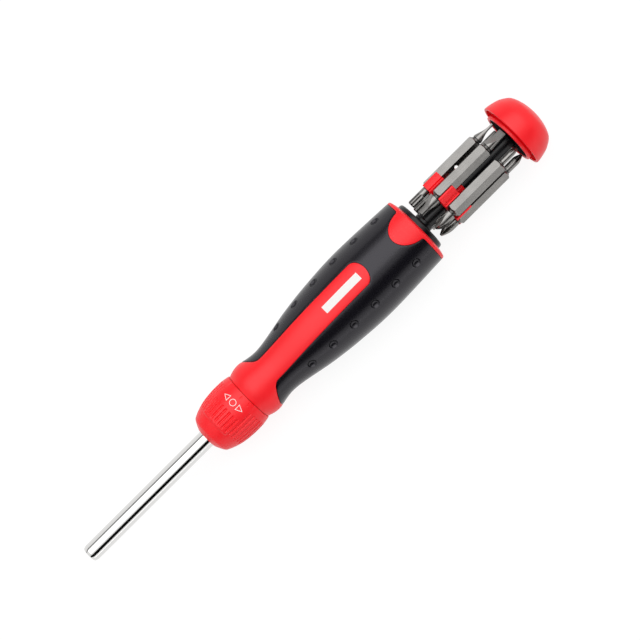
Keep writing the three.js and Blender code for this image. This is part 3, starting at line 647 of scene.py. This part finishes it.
class SCREWDRIVER_OT_grip(bpy.types.Operator):
    """Rubber grip with its rows of dimples"""

    bl_idname = "screwdriver.grip"
    bl_label = "Rubber grip"

    def execute(self, context):
        size = context.scene.tool_sizes
        seam = size.seam / MM
        skin = handle_skin(0, GRIP_THICKNESS, HANDLE_STEPS)
        press_dimples(skin, size)
        grip = loose("grip", skin)
        cut(grip, windows(seam))
        bm = joined(grip)
        roll_edges(bm, seam, size.edge_roll / MM, size.edge_drop / MM)
        settle(bm, "rubber_grip", "handle", "black_rubber", "grip_overmould")
        return {"FINISHED"}


class SCREWDRIVER_OT_core(bpy.types.Operator):
    """Red core of the handle: neck, strip, tab, rim and the chamber inside"""

    bl_idname = "screwdriver.core"
    bl_label = "Handle core"

    def execute(self, context):
        size = context.scene.tool_sizes
        chamber, chamber_front = 13.6, HANDLE_FRONT + 42.4
        mouth_end, chamfer, rim_ease = HANDLE_REAR - 2.4, 0.5, 0.6
        socket, socket_end, bore = 8.9, HANDLE_FRONT + 18.2, 4.0
        lip_inside, lip_outside, lip_front = 11.2, 11.4, HANDLE_FRONT - 0.24
        channel_proud, channel_room, channel_steps = 1, 0.1, 96
        edge = [HANDLE_CURVE[-1], (HANDLE_REAR - RIM_EDGE_SETBACK, RIM_EDGE_RADIUS)]
        mouth = [(HANDLE_REAR, MOUTH_RADIUS + chamfer), (HANDLE_REAR - chamfer, MOUTH_RADIUS)]
        rim = eased([*edge, *mouth, (mouth_end, MOUTH_RADIUS)], rim_ease)
        hollow = [(mouth_end, chamber), (chamber_front, chamber), (chamber_front, bore)]
        seat = [(socket_end, bore), (socket_end, socket), (HANDLE_FRONT, socket), (HANDLE_FRONT, lip_inside)]
        lip = [(lip_front, lip_inside), (lip_front, lip_outside), (HANDLE_FRONT, lip_outside)]
        outline = [*dense(HANDLE_CURVE, SKIN_SPACING), *rim[1:], *hollow, *seat, *lip]
        core = loose("core", spun(outline, HANDLE_STEPS, closed=True))
        channel = loose("channel", handle_skin(channel_proud, GRIP_THICKNESS + channel_room, channel_steps))
        cut(channel, windows(0))
        cut(core, channel)
        bm = joined(core)
        roll_edges(bm, 0, size.edge_roll / MM, size.edge_drop / MM)
        settle(bm, "core_moulding", "handle", "red_plastic", "handle_core")
        return {"FINISHED"}


class SCREWDRIVER_OT_label(bpy.types.Operator):
    """Plain pale panel printed on the strip"""

    bl_idname = "screwdriver.label"
    bl_label = "Label panel"

    def execute(self, context):
        size = context.scene.tool_sizes
        length, width = size.label_length / MM, size.label_width / MM
        turn, lift, thickness = 2.0, 0.012, 0.03  # the panel sits a little off the strip's middle
        bm = bmesh.new()
        bmesh.ops.create_grid(bm, x_segments=48, y_segments=8, size=0.5)
        bmesh.ops.scale(bm, vec=(length, width, 1), verts=bm.verts)
        wrap(bm, HANDLE_FRONT + size.label_at / MM, turn, handle_radius, lift)
        bmesh.ops.recalc_face_normals(bm, faces=bm.faces)
        bmesh.ops.solidify(bm, geom=bm.faces[:], thickness=thickness)
        settle(bm, "label_panel", "handle", "red_plastic", look="mark")
        return {"FINISHED"}


# Front end


class SCREWDRIVER_OT_shaft(bpy.types.Operator):
    """Bright shaft with the hex socket in its tip"""

    bl_idname = "screwdriver.shaft"
    bl_label = "Shaft"

    def execute(self, context):
        radius, rear = outer("shaft"), ends("shaft")[1]
        gear, journal = 84.6, 2.9  # where the gear starts, and the radius of the tail that carries it
        flats, corner, depth = (BIT_FLATS + 0.1) / 2, 3.575, 33
        mouth, mouth_depth = corner + 0.05, 0.25
        nose_radius, nose_length, nose_ease = radius - 0.45, 1.3, 0.8
        tip = [(0, mouth), (0, nose_radius), (nose_length, radius), (gear, radius)]
        socket = [(depth, 0), (depth, corner), (mouth_depth, corner)]
        tail = [(gear, journal), (rear, journal), (rear, 0)]
        bm = spun([*socket, *eased(tip, nose_ease, steps=6), *tail], steps=96)

        def hexed(x, r, angle):
            slack = 0.01
            if r > corner + slack or x > depth + slack:
                return r
            return min(corner, flats / cos(radians(off_flat(angle))))

        reshape(bm, hexed)
        settle(bm, "bright_shaft", "shaft_drive", "chrome", "shaft")
        return {"FINISHED"}


COLLAR_BORE = 11.06
PAD_SHARE = 0.35  # how far the thumb pad fills the collar out to its crest
# Outside of the collar from its nose to its rear, as shares of its length and of its radius
COLLAR_STATIONS = (
    (0, 0.414), (0.0195, 0.5), (0.0424, 0.588), (0.0763, 0.7), (0.1105, 0.757), (0.2125, 0.848), (0.35, 0.93),
    (0.4844, 0.975), (0.6537, 1), (0.825, 0.996), (0.891, 0.981), (0.961, 0.958), (1, 0.936)
)


def collar_outline():
    """Outside of the collar, from its nose to its rear."""
    radius, length = outer("selector_collar"), COLLAR_REAR - COLLAR_FRONT
    stations = [(COLLAR_FRONT + along * length, out * radius) for along, out in COLLAR_STATIONS]
    return dense(through(stations, steps=6), spacing=0.35)


class SCREWDRIVER_OT_collar(bpy.types.Operator):
    """Grooved selector collar with a raised thumb pad at its marks"""

    bl_idname = "screwdriver.collar"
    bl_label = "Selector collar"

    def execute(self, context):
        size = context.scene.tool_sizes
        width, depth = size.groove_width / MM, size.groove_depth / MM
        pitch = 360 / size.groove_count
        start, end, short_end = COLLAR_FRONT + 8.0, COLLAR_FRONT + 22.3, COLLAR_FRONT + 16.5
        run_in, run_out = 2, 0.6
        pad_front, pad_step, pad_edge, pad_fade = COLLAR_FRONT + 7.6, 0.35, 37, (-4, 2)
        tick_start, tick_end, tick_half, tick_depth = COLLAR_REAR - 2.4, COLLAR_REAR - 0.9, 0.3, 0.3
        tick_middles, tick_turn = (14, 14 - 180), 9.4
        web, web_rear, slope = COLLAR_FRONT + 2.4, COLLAR_FRONT + 9.2, 3
        crest = outer("selector_collar")
        bore, under_skin = outer("shaft") + 0.25, 0.05
        hollow = [(COLLAR_REAR, COLLAR_BORE), (web_rear, COLLAR_BORE), (web, COLLAR_BORE - slope)]
        outline = collar_outline()
        skin = radius_along(outline)
        bm = spun([*outline, *hollow, (web, bore), (COLLAR_FRONT, bore)], steps=540, closed=True)

        def grooved(x, r, angle):
            if r < skin(x) - under_skin:
                return r
            middle = round(angle / pitch) * pitch
            side = min(abs(angle), 180 - abs(angle))
            marked = min(abs(middle), 180 - abs(middle)) < pad_edge
            lengthwise = blend_in(x, pad_front - pad_step, pad_front + pad_step)
            pad = lengthwise * (1 - blend_in(side, pad_edge + pad_fade[0], pad_edge + pad_fade[1]))
            out = r + pad * PAD_SHARE * (crest - r)
            share = radians(abs(angle - middle)) * r / (width / 2)
            stop = short_end if marked else end
            run = blend_in(x, start, start + run_in) * (1 - blend_in(x, stop - run_out, stop))
            if tick_start < x < tick_end:
                aside = min(abs(abs(angle - tick_middle) - tick_turn) for tick_middle in tick_middles)
                out -= tick_depth * (radians(aside) * r < tick_half)
            return out - depth * run * max(0, 1 - share**4)

        reshape(bm, grooved)
        settle(bm, "grooved_collar", "selector", "red_plastic", "selector_collar", sharp=60)
        return {"FINISHED"}


def ring_mark(corners, radius, line, stretch=(1, 1, 1)):
    """A flat outline, a ring or a triangle, in the (x, y) plane."""
    bm = bmesh.new()
    bmesh.ops.create_circle(bm, cap_ends=True, segments=corners, radius=radius)
    bmesh.ops.scale(bm, vec=stretch, verts=bm.verts)
    middle = bm.faces[:]
    bmesh.ops.inset_region(bm, faces=middle, thickness=line, use_boundary=True, use_even_offset=True)
    bmesh.ops.delete(bm, geom=middle, context="FACES")
    bmesh.ops.subdivide_edges(bm, edges=bm.edges[:], cuts=3, use_grid_fill=True)
    return bm


class SCREWDRIVER_OT_marks(bpy.types.Operator):
    """Printed marks of the collar: a triangle each way and a circle for locked"""

    bl_idname = "screwdriver.marks"
    bl_label = "Selector marks"

    def execute(self, context):
        line = context.scene.tool_sizes.mark_line / MM
        skin, crest = radius_along(collar_outline()), outer("selector_collar")

        def surface(x):
            return skin(x) + PAD_SHARE * (crest - skin(x))

        at, step, lift, thickness = COLLAR_FRONT + 20.1, 16.5, 0.02, 0.04
        ring, triangle, stretch = 1.6, 1.92, (0.94, 1.12, 1)
        half_turn = Matrix.Rotation(pi, 3, "Z")
        marks = []
        for side in (0, 180):
            for turn in (-step, 0, step):
                bm = ring_mark(3, triangle, line, stretch) if turn else ring_mark(32, ring, line)
                if turn < 0:
                    bmesh.ops.rotate(bm, verts=bm.verts, cent=(0, 0, 0), matrix=half_turn)
                wrap(bm, at, side + turn, surface, lift)
                marks.append(loose("mark", bm))
        whole = joined(*marks)
        bmesh.ops.recalc_face_normals(whole, faces=whole.faces)
        bmesh.ops.solidify(whole, geom=whole.faces[:], thickness=thickness)
        settle(whole, "selector_marks", "selector", "red_plastic", look="mark")
        return {"FINISHED"}


# Cartridge


class SCREWDRIVER_OT_base(bpy.types.Operator):
    """Black base of the cartridge, at the handle's mouth"""

    bl_idname = "screwdriver.base"
    bl_label = "Cartridge base"

    def execute(self, context):
        radius, shoulder, shoulder_top = 12.56, 13.3, BASE_BOTTOM + 1.8
        hole, recess, recess_top = 3.3, 5.4, BASE_BOTTOM + 1.5
        recessed = [(recess_top, hole), (recess_top, recess), (BASE_BOTTOM, recess)]
        shouldered = [(BASE_BOTTOM, shoulder), (shoulder_top, shoulder), (shoulder_top, radius)]
        profile = [*recessed, *shouldered, (BASE_TOP, radius), (BASE_TOP, hole)]
        bm = spun(eased(profile, radius=1.5, steps=8), steps=128, closed=True)
        settle(bm, "base_disc", "cartridge_foot", "black_plastic", "cartridge_base")
        return {"FINISHED"}


class SCREWDRIVER_OT_rod(bpy.types.Operator):
    """Black rod between the bits, with the boss at its foot"""

    bl_idname = "screwdriver.rod"
    bl_label = "Cartridge rod"

    def execute(self, context):
        start, end = ends("cartridge_rod")
        radius, pin, boss = 4.2, 3, 4.6
        foot, top = BASE_TOP + 0.3, DISC_FRONT - 0.2
        boss_top, boss_bevel = foot + 1.6, foot + 1.9
        tail = [(start, 0), (start, pin), (foot, pin)]
        body = [(foot, boss), (boss_top, boss), (boss_bevel, radius), (top, radius)]
        profile = [*tail, *body, (top, pin), (end, pin), (end, 0)]
        bm = spun(eased(profile, radius=0.4), steps=64)
        settle(bm, "black_rod", "carousel", "black_plastic", "cartridge_rod")
        return {"FINISHED"}


class SCREWDRIVER_OT_clip(bpy.types.Operator):
    """Red clip that hooks the bits, with eased edges"""

    bl_idname = "screwdriver.clip"
    bl_label = "Bit clip"

    def execute(self, context):
        flat, crease = radians(2), radians(28)
        bm = bmesh.new()
        bm.from_mesh(frame["nodes"]["bit_clip"].data)
        bmesh.ops.translate(bm, vec=(-TIP, 0, 0), verts=bm.verts)
        bmesh.ops.scale(bm, vec=(1 / MM, 1 / MM, 1 / MM), verts=bm.verts)
        bmesh.ops.remove_doubles(bm, verts=bm.verts, dist=1e-3)
        bmesh.ops.dissolve_limit(bm, angle_limit=flat, verts=bm.verts, edges=bm.edges)
        sharp = [edge for edge in bm.edges if edge.is_manifold and edge.calc_face_angle() > crease]
        bmesh.ops.bevel(
            bm, geom=sharp, offset=0.22, offset_type="OFFSET", affect="EDGES", segments=3, profile=0.5,
            material=-1, clamp_overlap=True,
        )
        settle(bm, "hooked_clip", "carousel", "red_plastic", "bit_clip")
        return {"FINISHED"}


class SCREWDRIVER_OT_disc(bpy.types.Operator):
    """Black disc above the bits"""

    bl_idname = "screwdriver.disc"
    bl_label = "Top disc"

    def execute(self, context):
        hole, radius = 3.2, 11.1
        profile = [(DISC_FRONT, hole), (DISC_FRONT, radius), (DISC_REAR, radius), (DISC_REAR, hole)]
        bm = spun(eased(profile, radius=0.35), steps=96, closed=True)
        settle(bm, "black_disc", "carousel", "black_plastic", "top_disc", look="matt_black")
        return {"FINISHED"}


# Outside of the cap's dome from its rim to its top, as shares of its height and of its radius
CAP_STATIONS = (
    (0, 1), (0.13, 0.985), (0.38, 0.935), (0.55, 0.873), (0.71, 0.785),
    (0.8, 0.7), (0.88, 0.56), (0.945, 0.38), (0.985, 0.19), (1, 0)
)


class SCREWDRIVER_OT_cap(bpy.types.Operator):
    """Red domed cap with its inner ring"""

    bl_idname = "screwdriver.cap"
    bl_label = "End cap"

    def execute(self, context):
        floor = DISC_REAR + 0.2
        ceiling, crest = floor + 6.2, floor + 0.8
        radius, ring, hollow, hollow_slope = 16.43, 12.75, 11.3, 2.2
        hole, boss = 3.2, 5.2
        recess, recess_floor = radius - 1.1, floor + 2.4
        flange, groove = CAP_RING + 1.5, ring - 0.8
        groove_start = flange + 0.3
        height = CAP_TOP - crest
        dome = through([(crest + along * height, out * radius) for along, out in CAP_STATIONS], steps=5)
        socket = [(ceiling, 0), (ceiling, hole), (floor, hole), (floor, boss), (ceiling, boss)]
        inside = [(ceiling, hollow - hollow_slope), (floor, hollow), (CAP_RING, hollow), (CAP_RING, ring)]
        outside = [(flange, ring), (groove_start, groove), (recess_floor, groove), (recess_floor, recess)]
        under = [*socket, *inside, *outside, (floor, recess), (floor, radius), (crest, radius)]
        bm = spun([*eased(under, radius=0.35), *dome[1:]], HANDLE_STEPS)
        settle(bm, "domed_cap", "carousel", "red_plastic", "end_cap")
        return {"FINISHED"}


# Bits. A tip's rule gives its radius, and how dark its painted shade is, for a place past the bit's body and
# an angle.

TIP_TRIM = 0.45
TIP_LENGTH = (BIT_END - BIT_START - BIT_BODY) / 2 - TIP_TRIM
BIT_LENGTH = 2 * TIP_LENGTH + BIT_BODY
LEAST = 1e-3  # keeps a flat's far ends finite


def nose(s, radius, taper, point, bulge=1.5):
    """A round tip's radius: straight, then an ogive to its point."""
    start = TIP_LENGTH - taper
    if s < start:
        return radius
    t = (s - start) / taper
    return point + (radius - point) * (1 - t**bulge)


def cross_tip(radius, taper, turn, bulge=1.5, dark=1):
    """A cross of four wings, which thin out towards a blunt point."""
    point, root, end, shading = 0.45, radius * 0.72, 0.42, 2.5
    thin_start, thin_end = TIP_LENGTH - 1.6 * taper, TIP_LENGTH - 0.1 * taper

    def rule(s, angle):
        blank = nose(s, radius, taper, point, bulge)
        angle = radians(angle + turn)
        wing = root + (end - root) * blend_in(s, thin_start, thin_end)
        out = min(blank, wing / max(min(abs(sin(angle)), abs(cos(angle))), LEAST))
        # Painted shade: the further a wing's surface lies below the round blank, the darker it is painted.
        return out, min(1, shading * (blank - out) / blank) * dark

    return rule


def slotted_tip(width, thickness, root, turn):
    """A flat blade, on a round root."""
    hollow = 0.7

    def rule(s, angle):
        thin = blend_in(s, start=0.8, end=TIP_LENGTH * 0.75) ** hollow
        blank = root + (width / 2 - root) * blend_in(s, start=0.5, end=TIP_LENGTH * 0.5)
        half = root + (thickness / 2 - root) * thin
        return min(blank, half / max(abs(cos(radians(angle + turn))), LEAST)), 0

    return rule


def star_tip(radius):
    """A star of six rounded points, on a round root."""
    end, groove, dark = radius * 0.8, radius * 0.2, 0.85

    def rule(s, angle):
        cut_in = (0.5 - 0.5 * cos(radians(6 * angle))) * blend_in(s, start=3.2, end=4.6)
        # Painted shade in the grooves between the star's points, darker where they are deeper.
        return nose(s, radius, taper=0.6, point=end) - groove * cut_in, dark * cut_in**2

    return rule


def square_tip(width):
    """A square that narrows a little, with its corners rounded."""
    narrowing, corner, end = 0.12, width * 0.68, width * 0.5

    def rule(s, angle):
        half = width / 2 * (1 - narrowing * s / TIP_LENGTH)
        angle = radians(angle)
        flat = half / max(abs(sin(angle)), abs(cos(angle)))
        return min(nose(s, corner, taper=0.5, point=end), flat), 0

    return rule


BIT_TIPS = [
    (star_tip(1.85), slotted_tip(3.5, 0.8, root=2.3, turn=15)),
    (slotted_tip(5.4, 1.0, root=2.9, turn=43), slotted_tip(4.2, 0.9, root=2.4, turn=20)),
    (cross_tip(2.65, 5.6, turn=20, bulge=3, dark=0.2), cross_tip(1.45, 3.2, turn=10)),
    (cross_tip(2.3, 6.0, turn=42, bulge=2.2), cross_tip(1.9, 4.0, turn=42, bulge=1.8)),
    (square_tip(3.3), square_tip(2.7)),
    (star_tip(2.2), star_tip(1.5)),
]


def bit_profile():
    """Places along a bit from its lower tip, close together where its shape changes."""
    tip_end, neck, chamfer_end, body = (TIP_LENGTH + past for past in (-0.4, -0.3, 1.5, 6))
    tip = dense([(0, 1), (tip_end, 1)], spacing=0.22)
    shoulder = dense([(neck, 1), (chamfer_end, 1)], spacing=0.1)
    half = [*tip, *shoulder, (body, 1), (BIT_LENGTH / 2, 1)]
    return half + [(BIT_LENGTH - x, r) for x, r in reversed(half[:-1])]


def bit_mesh(lower, upper):
    """A bit along the axis: a tip, a neck and ledge painted dark as shade, and the hex body with its ends
    chamfered.
    """
    corner = BIT_FLATS / 2 / cos(radians(30))
    # The neck and the ledge are painted dark, as shade.
    neck, neck_radius, neck_dark = 0.9, 2.0, 0.7
    ledge, ledge_radius, ledge_dark = 0.25, 2.35, 0.4
    chamfer, chamfer_slope = 2.45, 1.35
    bm = spun([(0, 0), *bit_profile(), (BIT_LENGTH, 0)], steps=144)
    # Each vertex's share of painted shade: in the tips' hollows, on the neck and on the ledge.
    flute = bm.verts.layers.float.new("flute")
    for vert in bm.verts:
        x, radius = vert.co.x, hypot(vert.co.y, vert.co.z)
        if radius < ON_AXIS:
            continue
        angle = turn_of(vert.co)
        past = max(TIP_LENGTH - x, x - (BIT_LENGTH - TIP_LENGTH))
        tip = lower if x < BIT_LENGTH / 2 else upper
        if past > neck:
            out, vert[flute] = tip(past, angle)
        elif past > ledge:
            out, vert[flute] = min(tip(neck, angle)[0], neck_radius), neck_dark
        elif past > 0:
            out, vert[flute] = ledge_radius, ledge_dark
        else:
            flat = BIT_FLATS / 2 / cos(radians(off_flat(angle)))
            out = min(chamfer - past * chamfer_slope, corner, flat)
        vert.co.y *= out / radius
        vert.co.z *= out / radius
    return bm


class SCREWDRIVER_OT_bits(bpy.types.Operator):
    """Double-ended hex bits, each with a hole for its ball"""

    bl_idname = "screwdriver.bits"
    bl_label = "Bits"

    def execute(self, context):
        for number, (tips, angle) in enumerate(zip(BIT_TIPS, BIT_ANGLES), start=1):
            bm = bit_mesh(*tips)
            bmesh.ops.translate(bm, vec=(BIT_START + TIP_TRIM, 0, BIT_CIRCLE), verts=bm.verts)
            turn = Matrix.Rotation(radians(angle), 3, "X")
            bmesh.ops.rotate(bm, cent=(0, 0, 0), matrix=turn, verts=bm.verts)
            bit = loose("bit", bm)
            cut(bit, loose("ball_hole", ball_hole(number, angle)))
            name = f"bit_{number}"
            settle(joined(bit), f"steel_{name}", f"{name}_piece", "satin_steel", name, sharp=24)
        return {"FINISHED"}


def ball_place(number):
    """Middle and radius of a bit's ball, in millimetres."""
    low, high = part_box(f"bit_{number}_ball")
    middle = (low + high) / 2
    return Vector(((middle.x - TIP) / MM, middle.y / MM, middle.z / MM)), (high.x - low.x) / 2 / MM


def ball_hole(number, angle):
    """A round hole from a bit's flat inwards, a little wider than its ball."""
    middle, radius = ball_place(number)
    wide, deep = radius + 0.2, 5
    inwards = (around(middle.x, angle, BIT_CIRCLE) - middle).normalized()
    turn = Vector((0, 0, 1)).rotation_difference(inwards).to_matrix()
    bm = bmesh.new()
    bmesh.ops.create_cone(bm, cap_ends=True, segments=32, radius1=wide, radius2=wide, depth=deep)
    bmesh.ops.rotate(bm, cent=(0, 0, 0), matrix=turn, verts=bm.verts)
    bmesh.ops.translate(bm, vec=middle, verts=bm.verts)
    return bm


class SCREWDRIVER_OT_balls(bpy.types.Operator):
    """Bright detent balls of the bits"""

    bl_idname = "screwdriver.balls"
    bl_label = "Detent balls"

    def execute(self, context):
        for number in range(1, len(BIT_ANGLES) + 1):
            middle, radius = ball_place(number)
            bm = bmesh.new()
            bmesh.ops.create_uvsphere(bm, u_segments=32, v_segments=20, radius=radius)
            bmesh.ops.translate(bm, vec=middle, verts=bm.verts)
            node = f"bit_{number}_ball"
            settle(bm, f"bright_ball_{number}", f"ball_{number}_piece", "chrome", node, look="ball")
        return {"FINISHED"}


class SCREWDRIVER_OT_inner(bpy.types.Operator):
    """Finishes of the pieces inside the tool"""

    bl_idname = "screwdriver.inner"
    bl_label = "Inner pieces"

    def execute(self, context):
        slots = {part["node"]: part["material_slot"] for part in frame["record"]["subparts"]}
        for node, solid in frame["nodes"].items():
            slot = "inner_steel" if slots[node] == "satin_steel" else slots[node]
            solid.data.materials.clear()
            solid.data.materials.append(finish(slot))
        return {"FINISHED"}


# Stage, in metres and degrees

VIEW_TURN = 13.5  # of the camera round the axis, from the strip
VIEW_LEAN = 1.45  # of the camera towards the cap
VIEW_ROLL = 44.86  # of the tool in the picture
VIEW_ALONG, VIEW_ACROSS = 0.0073, 0.00177  # where the picture's middle is on the tool


def bare_tree(owner, output):
    """The node tree of a material or the world, emptied, and the socket of its new output."""
    owner.use_nodes = True
    owner.node_tree.nodes.clear()
    return owner.node_tree, add(owner.node_tree, output).inputs["Surface"]


def white_to_view(tree):
    """1 for rays from the camera and for what gloss and glass show, 0 for light on the pieces."""
    path = add(tree, "ShaderNodeLightPath")
    seen = path.outputs["Is Camera Ray"]
    for ray in ("Is Glossy Ray", "Is Transmission Ray"):
        either = add(tree, "ShaderNodeMath")
        either.operation = "MAXIMUM"
        tree.links.new(seen, either.inputs[0])
        tree.links.new(path.outputs[ray], either.inputs[1])
        seen = either.outputs["Value"]
    return seen


def mixed(tree, share, first, second):
    """A mix of two shaders by a share, which is a value or a socket."""
    mix = add(tree, "ShaderNodeMixShader")
    if isinstance(share, float):
        mix.inputs["Fac"].default_value = share
    else:
        tree.links.new(share, mix.inputs["Fac"])
    tree.links.new(first, mix.inputs[1])
    tree.links.new(second, mix.inputs[2])
    return mix.outputs["Shader"]


def floor_finish():
    """Pale paper: white to the camera, with a faint shadow of the tool."""
    tone, strength, share = 0.85, 1.08, 0.82
    material = bpy.data.materials.new("pale_paper")
    tree, output = bare_tree(material, "ShaderNodeOutputMaterial")
    paper = add(tree, "ShaderNodeBsdfDiffuse", {"Color": (tone, tone, tone, 1)}).outputs["BSDF"]
    glow = add(tree, "ShaderNodeEmission", {"Strength": strength}).outputs["Emission"]
    bright = mixed(tree, share, paper, glow)
    tree.links.new(mixed(tree, white_to_view(tree), paper, bright), output)
    return material


def set_world():
    """An even room that lights the pieces, white to the camera and in reflections."""
    strengths = 0.55, 1.0
    world = bpy.data.worlds.new("studio")
    bpy.context.scene.world = world
    tree, output = bare_tree(world, "ShaderNodeOutputWorld")
    room, white = (
        add(tree, "ShaderNodeBackground", {"Color": (1, 1, 1, 1), "Strength": strength}).outputs["Background"]
        for strength in strengths
    )
    tree.links.new(mixed(tree, white_to_view(tree), room, white), output)


def view_axes():
    """Towards the camera, along the tool and across it, as the picture shows them."""
    lean, turn = radians(VIEW_LEAN), radians(VIEW_TURN)
    towards = Vector((sin(lean), -sin(turn) * cos(lean), cos(turn) * cos(lean)))
    lengthwise = (Vector((1, 0, 0)) - towards * towards.x).normalized()
    return towards, lengthwise, towards.cross(lengthwise)


def outwards(angle):
    """Direction from the axis, at an angle round it from the camera."""
    towards, _, across = view_axes()
    turn = radians(angle)
    return towards * cos(turn) + across * sin(turn)


def stand(name, data, at, axes):
    """Puts a lamp or a camera at a place, along three axes."""
    thing = put(name, data)
    thing.matrix_world = Matrix.Translation(at) @ Matrix(axes).transposed().to_4x4()
    return thing


def soft_lamp(name, angle, reach, width, length, watts, along=0):
    """A lamp along the tool, at an angle from the camera, moved towards the cap."""
    out, lengthwise = outwards(angle), view_axes()[1]
    lamp = bpy.data.lights.new(name, "AREA")
    lamp.shape = "RECTANGLE"
    lamp.size = length
    lamp.size_y = width
    lamp.energy = watts
    stand(name, lamp, out * reach + lengthwise * along, (lengthwise, out.cross(lengthwise), out))


def set_camera(size):
    """Above the tool, turned so that it runs from the lower left to the upper right of the picture."""
    towards, lengthwise, across = view_axes()
    roll = radians(VIEW_ROLL)
    right = lengthwise * cos(roll) - across * sin(roll)
    up = lengthwise * sin(roll) + across * cos(roll)
    middle = Vector((VIEW_ALONG, 0, 0)) + across * VIEW_ACROSS
    camera = bpy.data.cameras.new("camera")
    camera.sensor_width = 36
    camera.lens = camera.sensor_width * size.view_distance / size.view_width
    camera.clip_start = 0.01
    at = middle + towards * size.view_distance
    bpy.context.scene.camera = stand("camera", camera, at, (right, up, towards))


def studio_card(name, start, end, shade):
    """A card along the tool, seen only in reflections, between two angles from the camera."""
    reach, half_length = 0.6, view_axes()[1] * 0.9
    bm = bmesh.new()
    corners = [(start, -1), (start, 1), (end, 1), (end, -1)]
    bm.faces.new([bm.verts.new(outwards(angle) * reach + half_length * side) for angle, side in corners])
    card = loose(name, bm)
    material = bpy.data.materials.new(name)
    tree, output = bare_tree(material, "ShaderNodeOutputMaterial")
    tone = add(tree, "ShaderNodeEmission", {"Color": (shade, shade, shade, 1)})
    tree.links.new(tone.outputs["Emission"], output)
    card.data.materials.append(material)
    card.visible_camera = False
    card.visible_diffuse = False
    card.visible_shadow = False
    card.visible_transmission = False


class SCREWDRIVER_OT_stage(bpy.types.Operator):
    """Pale floor, soft lamps and the camera"""

    bl_idname = "screwdriver.stage"
    bl_label = "Stage"

    def execute(self, context):
        bm = bmesh.new()
        bmesh.ops.create_grid(bm, x_segments=1, y_segments=1, size=3)
        bmesh.ops.translate(bm, vec=(0, 0, CAD_BOX[0][2]), verts=bm.verts)
        floor = loose("floor", bm)
        floor.data.materials.append(floor_finish())
        set_world()
        soft_lamp("overhead", angle=23, reach=1.4, width=1.5, length=2.8, watts=20, along=0.45)
        soft_lamp("low_side", angle=-80, reach=1.0, width=0.2, length=1.4, watts=1.3)
        studio_card("black_card", start=-22, end=-58, shade=0.004)
        studio_card("grey_card", start=61, end=76, shade=0.24)
        set_camera(context.scene.tool_sizes)
        context.scene.view_settings.view_transform = "Standard"
        return {"FINISHED"}


PIECES = (
    SCREWDRIVER_OT_inner, SCREWDRIVER_OT_shaft, SCREWDRIVER_OT_collar, SCREWDRIVER_OT_marks,
    SCREWDRIVER_OT_core, SCREWDRIVER_OT_label, SCREWDRIVER_OT_grip,
    SCREWDRIVER_OT_base, SCREWDRIVER_OT_rod, SCREWDRIVER_OT_clip, SCREWDRIVER_OT_disc, SCREWDRIVER_OT_cap,
    SCREWDRIVER_OT_bits, SCREWDRIVER_OT_balls, SCREWDRIVER_OT_stage,
)


class SCREWDRIVER_PT_tool(bpy.types.Panel):
    """Lists the pieces, with their sizes and colours"""

    bl_idname = "SCREWDRIVER_PT_tool"
    bl_label = "Ratcheting screwdriver"
    bl_space_type = "VIEW_3D"
    bl_region_type = "UI"
    bl_category = "Screwdriver"

    def draw(self, context):
        for group in (context.scene.tool_sizes, context.scene.tool_colours):
            column = self.layout.column()
            for name in group.__annotations__:
                column.prop(group, name)
        for piece in PIECES:
            self.layout.operator(piece.bl_idname)


CLASSES = (ToolSizes, ToolColours, *PIECES, SCREWDRIVER_PT_tool)


def register():
    for cls in CLASSES:
        bpy.utils.register_class(cls)
    bpy.types.Scene.tool_sizes = bpy.props.PointerProperty(type=ToolSizes)
    bpy.types.Scene.tool_colours = bpy.props.PointerProperty(type=ToolColours)


def unregister():
    del bpy.types.Scene.tool_colours
    del bpy.types.Scene.tool_sizes
    for cls in reversed(CLASSES):
        bpy.utils.unregister_class(cls)


def main():
    register()
    for piece in PIECES:
        group, name = piece.bl_idname.split(".")
        getattr(getattr(bpy.ops, group), name)()
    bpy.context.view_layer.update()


if __name__ == "__main__":
    main()
